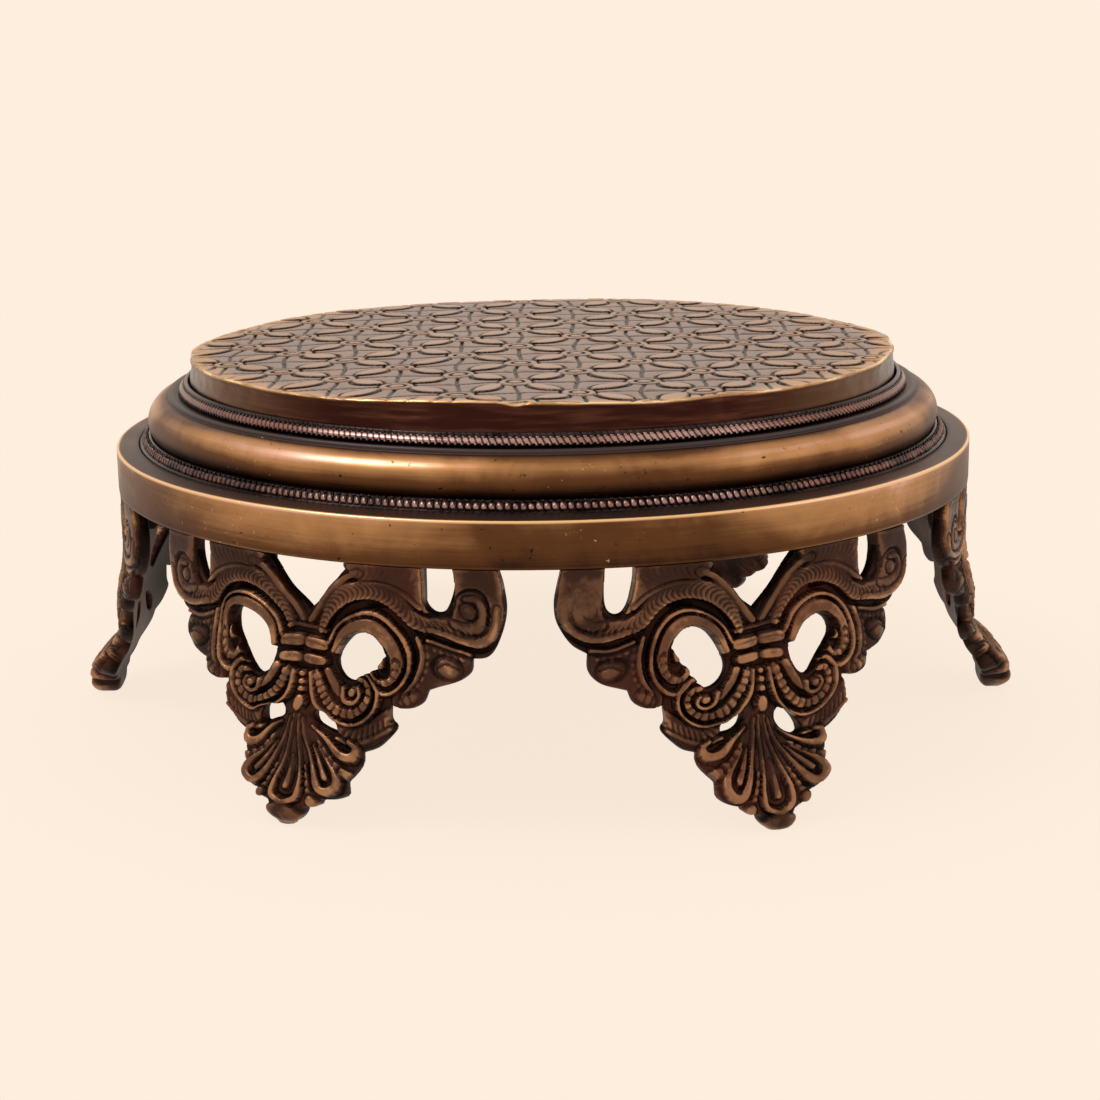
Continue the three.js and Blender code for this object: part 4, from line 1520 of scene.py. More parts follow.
@dataclass
class CarvedLegs:
    """Six cast legs, carved in openwork, each with two lugs behind the apron."""

    setting: LegSetting
    lug_top: float
    lug_inner: float
    lug_outer: float
    lug_shift: float
    lug_width: float
    lug_root: float = 14.0
    grid: float = 0.45
    rounding: float = 1.2
    foot_rounding: float = 2.2
    drawing: LegDrawing = field(default_factory=LegDrawing)

    LEANS = {"front_left_leg": (-2.4, -1.6), "front_right_leg": (0.8, 1.2), "side_left_leg": (0.0, 1.0),
             "side_right_leg": (0.0, 2.0)}
    TOE_BULKS = {"side_left_leg": 2.2, "side_right_leg": 2.4}
    SOLE_BEND, TOE_BEND, HEEL_BEND = 7.0, 3.8, 2.2
    LOOSE, LEANING, KICKED = (2.0, 14.0), (24.0, 87.0), (46.0, 87.0)
    BULKED, ROUNDED = (58.0, 82.0), (52.0, 78.0)
    WANDERS = ((0.9, 100), (0.7, 200))
    NUDGES = {
        "front_left_leg": (
            (15.0, 31.0, -2.2, 0.0, 5.5), (28.0, 28.0, -3.0, 0.6, 8.0), (21.0, 19.0, 0.0, 1.2, 7.0),
            (20.0, 38.0, 0.0, -2.0, 7.0), (-27.0, 24.0, -3.8, -1.8, 7.0), (-13.5, 52.0, -1.6, -0.8, 4.5),
            (-9.5, 56.0, 0.0, -1.8, 4.5), (11.5, 56.0, 0.0, -1.6, 5.0), (60.0, 24.0, 1.4, 2.4, 8.0),
            (0.0, 72.0, 0.0, -1.8, 12.0)),
        "front_right_leg": (
            (-60.0, 9.0, 2.4, 0.0, 10.0), (-22.0, 39.0, -1.2, 1.4, 7.0), (20.0, 24.0, 1.6, 2.4, 8.0),
            (15.0, 38.0, 1.6, 1.2, 6.0), (-10.0, 49.5, 0.0, 2.0, 4.0), (-12.0, 56.0, 0.0, -1.4, 5.0),
            (9.0, 52.0, 0.0, 1.4, 7.0), (0.0, 45.0, 0.8, 1.6, 6.0), (0.0, 70.0, -1.6, 1.6, 12.0),
            (-14.0, 74.0, -1.4, 2.0, 9.0), (-21.0, 62.0, -2.0, 0.0, 7.0), (45.0, 33.0, 2.2, 0.0, 12.0),
            (60.0, 12.0, 2.4, 0.8, 12.0)),
    }
    PLAIN_HORNS = {"front_right_leg": (-58.0, 9.0, 8.5)}
    PLAIN_LEVEL = -0.5
    CELL, REACH, MARGIN, BEYOND = 0.4, (72.0, 96.0), 3.0, -3.2
    SEAM, THINNEST = 0.3, 1.5
    LUG_BEVEL, LUG_EASE, LUG_TOP_BEVEL, LUG_WEAR = 1.5, 0.2, 0.8, 0.25

    def build(self, legs: dict[str, float], finish: DarkRelief) -> None:
        """Make each leg from one carved sheet, with its own unevenness.

        Args:
            legs: Angle of each leg's middle in radians, by node.
            finish: The legs' finish.
        """
        material = finish.material("dark_brass_relief")
        sheet = self._sheet()
        across, down = sheet.places.T
        level = self.drawing.level(*self._drawn(across, down))
        edge = self.drawing.edge_distance(*self._drawn(across, down))
        wear = self._wear(across, down, level)
        for number, (name, middle) in enumerate(legs.items()):
            mesh = self._leg(name, sheet, level, edge, wear, middle, number)
            finished_piece(name + "_carved", mesh, material, [name])

    def _drawn(self, across: np.ndarray, down: np.ndarray) -> tuple[np.ndarray, np.ndarray]:
        """Turn places on the leg into places on its drawing."""
        width, drop = self.drawing.SIZE
        return across * width / self.setting.half_width, down * drop / self.setting.drop

    def _sheet(self) -> FlatSheet:
        """Cut the leg's flat sheet.

        Returns:
            The sheet.
        """
        drop = self.setting.drop

        def inside(across: np.ndarray, down: np.ndarray) -> np.ndarray:
            """Positive in the metal and below the apron."""
            shape = self.drawing.edge_distance(*self._drawn(across, down))
            return np.minimum(np.minimum(shape, down), drop - down)

        columns, rows = (math.ceil((size + 1.0) / self.grid) for size in (self.setting.half_width, drop))
        low, high = (-columns * self.grid, -2 * self.grid), (columns * self.grid, rows * self.grid)
        return FlatSheet.cut(inside, low, high, self.grid)

    def _wear(self, across: np.ndarray, down: np.ndarray, level: np.ndarray) -> np.ndarray:
        """Work out how far each place stands out of its surroundings.

        Args:
            across: Across places.
            down: Down places.
            level: Levels of the carving.

        Returns:
            Near 0 in the hollows and near 1 on the crests.
        """
        columns, rows = (np.arange(int(side / self.CELL)) * self.CELL for side in self.REACH)
        grid_a, grid_d = np.meshgrid(columns, rows - self.MARGIN)
        flat_a, flat_d = grid_a.ravel(), grid_d.ravel()
        relief = self.drawing.level(*self._drawn(flat_a, flat_d))
        metal = self.drawing.edge_distance(flat_a, flat_d) > 0.0
        relief = np.where(metal | (flat_d < 0.0), relief, self.BEYOND).reshape(grid_a.shape)
        column, row = np.abs(across) / self.CELL, (down + self.MARGIN) / self.CELL
        height = 0.5 + 0.14 * (level + 1.3) - 0.3 * smooth_step(80.0, 83.0, down)
        for spread, gain in ((0.9, 0.42), (2.6, 0.3)):
            height += gain * (level - self._sampled(self._blurred(relief, spread / self.CELL), column, row))
        return np.clip(height, 0.0, 1.3)

    @staticmethod
    def _blurred(relief: np.ndarray, spread: float) -> np.ndarray:
        """Blur a relief that is mirrored at its borders.

        Args:
            relief: The relief's levels, in rows and columns.
            spread: The blur's spread in cells.

        Returns:
            The blurred levels.
        """
        reach = int(3 * spread) + 1
        kernel = np.exp(-0.5 * (np.arange(-reach, reach + 1) / spread) ** 2)
        kernel /= kernel.sum()
        relief = np.pad(relief, reach, mode="reflect")
        for axis in (1, 0):
            relief = np.apply_along_axis(np.convolve, axis, relief, kernel, "valid")
        return relief

    @staticmethod
    def _sampled(relief: np.ndarray, column: np.ndarray, row: np.ndarray) -> np.ndarray:
        """Read a relief between its cells.

        Args:
            relief: The relief's levels, in rows and columns.
            column: Where to read, in columns.
            row: Where to read, in rows.

        Returns:
            The levels there.
        """
        column = np.clip(column, 0, relief.shape[1] - 1.001)
        row = np.clip(row, 0, relief.shape[0] - 1.001)
        left, top = column.astype(int), row.astype(int)
        share_x, share_y = column - left, row - top
        upper, lower = (relief[line, left] * (1 - share_x) + relief[line, left + 1] * share_x
                        for line in (top, top + 1))
        return upper * (1 - share_y) + lower * share_y

    def _shifts(self, name: str, number: int, across: np.ndarray, down: np.ndarray) -> np.ndarray:
        """Work out how far this casting's drawing is pushed from the regular one.

        Args:
            name: The leg's name.
            number: Which leg.
            across: Across places.
            down: Down places.

        Returns:
            Shifts across and down.
        """
        loose = smooth_step(*self.LOOSE, down)
        shifts = np.array([gain * waves(seed + number, 6, 60.0, 22.0)(across, down) * loose
                           for gain, seed in self.WANDERS])
        shifts[0] += self.LEANS.get(name, (0.0, 0.0))[0] * smooth_step(*self.LEANING, down)
        for nudge_a, nudge_d, push_a, push_d, spread in self.NUDGES.get(name, ()):
            near = np.exp(-((across - nudge_a) ** 2 + (down - nudge_d) ** 2) / spread**2)
            shifts += np.outer((push_a, push_d), near)
        return shifts

    def _leg(self, name: str, sheet: FlatSheet, level: np.ndarray, edge: np.ndarray, wear: np.ndarray,
             middle: float, number: int) -> bpy.types.Mesh:
        """Bend one leg onto the table and close it with a plain back.

        Args:
            name: The leg's name.
            sheet: The flat sheet.
            level: Levels of the carving.
            edge: Distances to the outline.
            wear: Wear of the carving.
            middle: Angle of the leg's middle.
            number: Which leg, for its own unevenness.

        Returns:
            The mesh.
        """
        across, down = sheet.places.T
        drop = self.setting.drop
        shift_a, shift_d = self._shifts(name, number, across, down)
        if name in self.PLAIN_HORNS:
            horn_a, horn_d, reach = self.PLAIN_HORNS[name]
            plain = np.exp(-(((across - horn_a) ** 2 + (down - horn_d) ** 2) / reach**2) ** 2)
            level = level * (1.0 - plain) + self.PLAIN_LEVEL * plain
            wear = wear * (1.0 - plain) + plain
        cast = 0.05 * waves(300 + number, 14, 5.0, 1.6)(across, down) * smooth_step(*self.LOOSE, down)
        radius = self.rounding + (self.foot_rounding - self.rounding) * smooth_step(*self.ROUNDED, down)
        fall = radius - np.sqrt(radius**2 - np.clip(radius - edge, 0.0, radius) ** 2)
        seam = self.SEAM * np.clip(1.0 - down / 0.4, 0.0, 1.0)
        kick = self.LEANS.get(name, (0.0, 0.0))[1] * smooth_step(*self.KICKED, down)
        bulk = self.TOE_BULKS.get(name, 0.0) * smooth_step(*self.BULKED, down)
        turn = np.clip((down - drop) / self.SOLE_BEND + 1.0, 0.0, 1.0)
        bend = 1.0 - np.sqrt(1.0 - turn**2)
        front = level + kick + bulk + cast - fall * 0.85 - seam - self.TOE_BEND * bend
        back = kick - self.setting.wall(down) + fall * 0.7 + self.HEEL_BEND * bend
        sole = np.where(down > drop - 0.01, drop, np.clip(down + shift_d, 0.0, drop))
        faces = [self.setting.place(across + shift_a, sole, out, middle)
                 for out in (front, np.minimum(back, front - self.THINNEST))]
        rim, count = sheet.rim, len(across)
        walls = np.column_stack([rim[:, 1] + count, rim[:, 0] + count, rim[:, 0], rim[:, 1]])
        lug_points, lug_faces = self._lugs(middle, 2 * count)
        mesh = mesh_from_arrays(name, np.vstack([*faces, lug_points]),
                                [sheet.triangles[:, ::-1], sheet.triangles + count, walls, lug_faces])
        back_wear = np.minimum(wear, 0.35) * 0.5 + 0.08
        keep_number(mesh, "wear", np.concatenate([wear, back_wear, np.full(len(lug_points), self.LUG_WEAR)]))
        return mesh

    def _lugs(self, middle: float, first: int) -> tuple[np.ndarray, np.ndarray]:
        """Make the two lugs behind the apron as closed blocks.

        Args:
            middle: Angle of the leg's middle.
            first: Index of the first new point.

        Returns:
            Points and quads.
        """
        join_height = self.setting.height
        low, eased = join_height - self.lug_root, join_height - self.LUG_EASE
        wall_middle = self.setting.radius - self.setting.thickness / 2.0
        section = [(self.lug_inner, low + self.LUG_BEVEL), (self.lug_inner + self.LUG_BEVEL, low),
                   (wall_middle, low), (wall_middle, eased), (self.lug_outer, eased),
                   (self.lug_outer, self.lug_top), (self.lug_inner + self.LUG_TOP_BEVEL, self.lug_top),
                   (self.lug_inner, self.lug_top - self.LUG_TOP_BEVEL)]
        half, size = self.lug_width / 2.0, len(section)
        points, quads = [], []
        for angle in (middle - self.lug_shift, middle + self.lug_shift):
            start = first + len(points)
            for aside in (-half, half):
                points += [(reach * math.cos(angle) - aside * math.sin(angle),
                            reach * math.sin(angle) + aside * math.cos(angle), height)
                           for reach, height in section]
            for index in range(size):
                after = (index + 1) % size
                quads.append((start + after, start + index, start + size + index, start + size + after))
            for corners in ((0, 1, 2, 3), (0, 3, 4, 7), (4, 5, 6, 7)):
                quads.append([start + corner for corner in corners])
                quads.append([start + size + corner for corner in reversed(corners)])
        return np.array(points), np.array(quads)


@dataclass
class EngravedTop:
    """The flat top, engraved with rings, leaves and a grid of lines, on its turned-down skirt."""

    radius: float
    height: float
    seat: float
    flare: float = 0.5
    thickness: float = 6.0
    skirt: float = 7.0
    sizes: EngravingSizes = EngravingSizes()
    origin: Point = (12.0, -63.0)
    grid: float = 0.5
    triangle_limit: int = 188000

    RIM_KNOTS = (
        (-180, 125.2), (-150, 125.6), (-120, 124.8), (-95, 125.8), (-70, 125.3), (-54, 125.7), (-42, 125.5),
        (-30, 124.2), (-20, 122.8), (-10, 121.8), (0, 122.4), (10, 124.2), (19, 125.5), (29, 123.6),
        (39, 125.6), (52, 125.7), (70, 125.0), (95, 125.7), (120, 124.9), (150, 125.6), (180, 125.2))
    RIM_BOWS, RIM_DENT = ((-12.0, 16.0, 0.7), (18.0, 9.0, -0.5)), (-2.0, 1.6, -0.9)

    def __post_init__(self) -> None:
        """Fix the unevenness of the hand work."""
        self.sway_x = waves(21, 7, 90.0, 26.0)
        self.sway_y = waves(22, 7, 90.0, 26.0)
        self.firmness = waves(23, 7, 50.0, 14.0)

    def coordinates(self, x: np.ndarray, y: np.ndarray) -> tuple[np.ndarray, np.ndarray]:
        """Places in the pattern's own directions, along which its rings repeat.

        Args:
            x: Places across, in millimetres.
            y: Places away from the front.

        Returns:
            Places along the one diagonal and along the other.
        """
        turn = PortraitCamera.turn
        seen_x = x * math.cos(turn) + y * math.sin(turn)
        seen_y = y * math.cos(turn) - x * math.sin(turn)
        drift = 0.17 * np.maximum(-seen_x - 20.0, 0.0)
        place_x = seen_x - self.origin[0] + 1.1 * self.sway_x(x, y)
        place_y = seen_y - self.origin[1] + drift + 1.1 * self.sway_y(x, y)
        return (place_x + place_y) / math.sqrt(2.0), (place_x - place_y) / math.sqrt(2.0)

    def pattern(self, x: np.ndarray, y: np.ndarray) -> np.ndarray:
        """Level of the engraving.

        Args:
            x: Places across, in millimetres.
            y: Places away from the front.

        Returns:
            The levels over the plain top.
        """
        sizes = self.sizes
        p, q = (place - sizes.period * np.round(place / sizes.period) for place in self.coordinates(x, y))
        reach = np.hypot(p, q)
        firm = 1.0 + 0.25 * self.firmness(x, y)

        def line(distance: np.ndarray, half: float, depth: float) -> np.ndarray:
            """A cut with sloping sides."""
            return -depth * firm * np.clip(1.0 - (distance / half) ** 2, 0.0, 1.0)

        level = np.zeros(x.shape)
        half = sizes.period / 2.0
        for t, w in ((half - np.abs(p), np.abs(q)), (half - np.abs(q), np.abs(p))):
            length = half - sizes.leaf_gap
            belly = sizes.belly * np.clip(1.0 - (t / length) ** 2, 0.0, 1.0) ** sizes.belly_power
            inside = (t < length) & (w < belly)
            ratio = np.where(inside, w / np.maximum(belly, 1e-3), 1.0)
            level = np.where(inside, 0.5 * np.sqrt(np.clip(1.0 - ratio**3, 0.0, 1.0)), level)
            near = np.abs(w - belly) * np.where(t < length, 1.0, 9.0)
            level += line(near, sizes.outline, 0.85)
        grid_line = np.abs(np.abs(p) - np.abs(q)) / math.sqrt(2.0)
        level += line(grid_line, sizes.stroke, 0.8)
        ring = (line(np.abs(reach - sizes.ring), sizes.stroke, 0.95)
                + line(np.abs(reach - sizes.eye), sizes.ring_line, 0.8))
        level = np.where(reach < sizes.ring_edge, 0.15 + ring, level)
        return np.maximum(level, -1.0)

    def rim_radius(self, angle: np.ndarray) -> np.ndarray:
        """Radius of the top's filed edge at an angle from the front."""
        radius = np.interp(np.degrees(angle), *zip(*self.RIM_KNOTS))
        return radius + 0.35 * np.sin(11 * angle + 1.0) + 0.25 * np.sin(23 * angle)

    def rim_lift(self, angle: np.ndarray) -> np.ndarray:
        """Height of the edge over the plain top at an angle from the front.

        Args:
            angle: The angles.

        Returns:
            The heights.
        """
        def bow(middle: float, spread: float, height: float) -> np.ndarray:
            """Bow the edge up or down about one angle."""
            return height * np.exp(-((np.degrees(angle) - middle) / spread) ** 2)

        return sum(bow(*each) for each in self.RIM_BOWS) + 0.3 * np.sin(5 * angle + 0.6) + bow(*self.RIM_DENT)

    def build(self, finish: GreyedTop) -> None:
        """Make the top.

        Args:
            finish: Its finish.
        """
        def measure(x: np.ndarray, y: np.ndarray) -> np.ndarray:
            """Positive inside the filed edge."""
            return self.rim_radius(np.arctan2(x, -y)) - np.hypot(x, y)

        half = math.ceil((self.radius + 1.0) / self.grid) * self.grid
        sheet = FlatSheet.cut(measure, (-half, -half), (half, half), self.grid)
        x, y = sheet.places.T
        inward = measure(x, y)
        lift = self.rim_lift(np.arctan2(x, -y)) * (1.0 - smooth_step(0.0, 16.0, inward))
        level = self.pattern(x, y) * (0.25 + 0.75 * smooth_step(0.6, 5.0, inward)) + lift
        surface = np.column_stack([x, y, self.height + level])
        points, faces = self._skirt(surface, self._rim_loop(sheet))
        mesh = mesh_from_arrays("engraved_top", np.vstack([surface, *points]), [sheet.triangles, *faces])
        mesh = self._thinned(mesh)
        self._mark(mesh)
        material = finish.material("greyed_brass_top")
        finished_piece("engraved_top", mesh, material, ["top_plate"])

    def _skirt(self, surface: np.ndarray, rim: np.ndarray) -> tuple[list[np.ndarray], list[np.ndarray]]:
        """Carry the rim round the skirt and under the plate.

        Args:
            surface: Points of the engraved face.
            rim: Indices of its rim's points, in order.

        Returns:
            Further points and quads.
        """
        x, y, top = surface[rim].T
        turn, reach = np.arctan2(x, -y), np.hypot(x, y)
        outer = self.radius + self.flare
        inner = outer - self.skirt
        under = self.height - self.thickness
        filed = self.radius - reach
        section = [
            (reach + 0.3, top - 0.12), (reach + 0.6, top - 0.55),
            (self.radius - 0.75 * filed, top - 2.2), (self.radius - 0.4 * filed, self.height - 4.6),
            (self.radius + 0.2 - 0.15 * filed, self.height - 7.0), (self.radius + 0.35, self.height - 9.6),
            (outer, self.seat + 0.6), (outer - 0.3, self.seat), (inner, self.seat), (inner, under - 1.2),
            (inner - 1.2, under), (inner * 0.5, under), (inner * 0.1, under)]
        points, faces = [], []
        start, size, previous = len(surface), len(rim), rim
        for ring_reach, height in section:
            dents = 0.08 * waves(31, 8, 30.0, 6.0)(turn * self.radius, np.full(size, np.mean(height)))
            ring_reach = ring_reach + dents
            points.append(np.column_stack([ring_reach * np.sin(turn), -ring_reach * np.cos(turn),
                                           np.broadcast_to(height, size)]))
            ring = np.arange(start, start + size)
            faces.append(np.column_stack([ring, np.roll(ring, -1), np.roll(previous, -1), previous]))
            previous = ring
            start += size
        points.append(np.array([[0.0, 0.0, under]]))
        faces.append(np.column_stack([np.full(size, start), np.roll(previous, -1), previous]))
        return points, faces

    @staticmethod
    def _rim_loop(sheet: FlatSheet) -> np.ndarray:
        """Order the rim's points round the sheet.

        Args:
            sheet: The top's sheet.

        Returns:
            The points' indices, in order.
        """
        after = dict(sheet.rim.tolist())
        loop = [int(sheet.rim[0, 0])]
        while after[loop[-1]] != loop[0]:
            loop.append(after[loop[-1]])
        return np.array(loop)

    def _thinned(self, mesh: bpy.types.Mesh) -> bpy.types.Mesh:
        """Merge triangles where the surface is flat.

        Args:
            mesh: The dense mesh.

        Returns:
            The thinned mesh.
        """
        carrier = linked("thinning", mesh)
        triangles = sum(len(face.vertices) - 2 for face in mesh.polygons)
        carrier.modifiers.new("thinning", "DECIMATE").ratio = min(1.0, self.triangle_limit / triangles)
        return baked(carrier)

    def _mark(self, mesh: bpy.types.Mesh) -> None:
        """Keep the numbers that the finish reads on the mesh's points.

        Args:
            mesh: The top's mesh.
        """
        places = np.zeros(len(mesh.vertices) * 3)
        mesh.vertices.foreach_get("co", places)
        x, y, z = (places.reshape(-1, 3) / MM).T
        angle = np.arctan2(x, -y)
        inward = self.rim_radius(angle) - np.hypot(x, y)
        sunk = self.height + self.rim_lift(angle) - z
        past = (inward < 0.05) | (sunk > np.where(inward < 2.0, 0.9, 3.0))
        inward = np.where(past, np.minimum(inward, 0.0) - np.maximum(sunk, 0.0), inward)
        keep_number(mesh, "inward", np.clip(inward, -6.0, 20.0))
        for name, values in zip(("along", "aside"), self.coordinates(x, y)):
            keep_number(mesh, name, values)


@dataclass(frozen=True)
class SectionPoint:
    """One point of a ring's section, with its tone from near black, 0, to bright gold, 1, which paints shade
    and highlight on the two big rings as well as their patina, and with its ash.
    """

    reach: float
    height: float
    tone: float
    ash: float = 0.0


def section_points(*rows: tuple[float, ...]) -> list[SectionPoint]:
    """Turn rows of reach, height, tone and, at times, ash into points of a section."""
    return [SectionPoint(*row) for row in rows]


def rounded_corner(centre: Point, radius: float, start: float, end: float, steps: int, tones: Point,
                   ash: float = 0.0) -> list[SectionPoint]:
    """Run a section round part of a circle.

    Args:
        centre: Reach and height of the circle's centre.
        radius: Its radius.
        start: First angle in degrees, from straight out, anticlockwise.
        end: Last angle in degrees.
        steps: How many steps.
        tones: Tone at the first and the last angle.
        ash: Ash all along it.

    Returns:
        The points.
    """
    points = []
    for share in (step / steps for step in range(steps + 1)):
        angle = math.radians(start + (end - start) * share)
        points.append(SectionPoint(centre[0] + radius * math.cos(angle), centre[1] + radius * math.sin(angle),
                                   tones[0] + (tones[1] - tones[0]) * share, ash))
    return points


@dataclass(frozen=True)
class Garland:
    """A row of small rounded blocks set round a ring."""

    reach: float
    height: float
    pitch: float
    size: tuple[float, float, float]
    tone: float
    turn: float
    spread: float
    seed: int
    crease: float = 0.45

    @property
    def count(self) -> int:
        """How many blocks fit round the ring."""
        return round(2.0 * math.pi * self.reach / self.pitch)

    def instances(self, bench: Bench) -> Wire:
        """Set the blocks round the axis.

        Args:
            bench: The tree.

        Returns:
            The instances.
        """
        angle = bench.node("GeometryNodeInputIndex") * (2.0 * math.pi / self.count)
        reach = self.reach * MM
        spot = bench.node("ShaderNodeCombineXYZ", None, {
            0: angle.of("COSINE") * reach, 1: angle.of("SINE") * reach, 2: self.height * MM})
        points = bench.node("GeometryNodePoints", None, {"Count": self.count, "Position": spot})
        shape = bench.node("GeometryNodeMeshCube", None, {"Size": (1.0, 1.0, 1.0)})
        shape = bench.node("GeometryNodeSubdivisionSurface", None,
                           {"Mesh": shape, "Level": 1, "Edge Crease": self.crease})
        shape = bench.node("GeometryNodeTransform", None,
                           {"Geometry": shape, "Scale": tuple(part * MM for part in self.size),
                            "Rotation": (0.0, math.radians(self.turn), 0.0)})
        shape = bench.node("GeometryNodeSetShadeSmooth", None, {"Geometry": shape})
        shape = bench.node("GeometryNodeStoreNamedAttribute", {"data_type": "FLOAT", "domain": "POINT"},
                           {"Geometry": shape, "Name": "tone", "Value": self.tone})
        spin = bench.node("ShaderNodeCombineXYZ", None, {2: angle})
        scale = bench.node("FunctionNodeRandomValue", {"data_type": "FLOAT_VECTOR"},
                           {0: (1.0 - self.spread,) * 3, 1: (1.0 + self.spread,) * 3, "Seed": self.seed})
        return bench.node("GeometryNodeInstanceOnPoints", None,
                          {"Points": points, "Instance": shape, "Rotation": spin, "Scale": scale})


@dataclass
class TurnedRing:
    """A ring swept round the table's axis from its section, with its garlands."""

    name: str
    section: list[SectionPoint]
    wobble: float
    wobble_seed: float
    garlands: tuple[Garland, ...] = ()
    sides: int = 420
    waviness: float = 14.0

    def sweep(self, material: bpy.types.Material) -> bpy.types.Mesh:
        """Sweep the section in Geometry Nodes.

        Args:
            material: The ring's material.

        Returns:
            A plain mesh.
        """
        points = np.array([(point.reach, -point.height, 0.0) for point in self.section])
        size = len(points)
        outline = bpy.data.meshes.new(self.name)
        outline.from_pydata((points * MM).tolist(), [(i, (i + 1) % size) for i in range(size)], [])
        for key in ("tone", "ash"):
            keep_number(outline, key, [getattr(point, key) for point in self.section])
        inputs = {
            "Sides": ("NodeSocketInt", self.sides), "Wobble": ("NodeSocketFloat", self.wobble * MM),
            "Waviness": ("NodeSocketFloat", self.waviness), "Seed": ("NodeSocketFloat", self.wobble_seed)}
        return grown_mesh(self.name, outline, inputs, self._grow, material)

    def _grow(self, bench: Bench, wires: dict[str, Wire]) -> Wire:
        """Sweep the outline round a circle, make it uneven, and join the garlands to it.

        Args:
            bench: The tree.
            wires: Wires of its inputs, by title.

        Returns:
            The ring with its garlands.
        """
        profile = bench.node("GeometryNodeMeshToCurve", None, {"Mesh": wires["Geometry"]})
        circle = bench.node("GeometryNodeCurvePrimitiveCircle", None,
                            {"Resolution": wires["Sides"], "Radius": 1.0})
        thin = bench.node("GeometryNodeTransform", None,
                          {"Geometry": profile, "Translation": (-1.0, 0.0, 0.0)})
        ring = bench.node("GeometryNodeCurveToMesh", None, {"Curve": circle, "Profile Curve": thin})
        noise = bench.node("ShaderNodeTexNoise", {"noise_dimensions": "4D"},
                           {"Vector": bench.node("GeometryNodeInputPosition"), "W": wires["Seed"],
                            "Scale": wires["Waviness"], "Detail": 2.0}, "Color")
        centred = bench.vector("SUBTRACT", {0: noise, 1: (0.5, 0.5, 0.5)})
        offset = bench.vector("SCALE", {0: centred, "Scale": wires["Wobble"] * 2.0})
        ring = bench.node("GeometryNodeSetPosition", None, {"Geometry": ring, "Offset": offset})
        ring = bench.node("GeometryNodeSetShadeSmooth", None, {"Geometry": ring})
        joint = bench.tree.nodes.new("GeometryNodeJoinGeometry")
        for part in [*(garland.instances(bench) for garland in reversed(self.garlands)), ring]:
            bench.tree.links.new(part.socket, joint.inputs[0])
        return Wire(bench, joint.outputs[0])


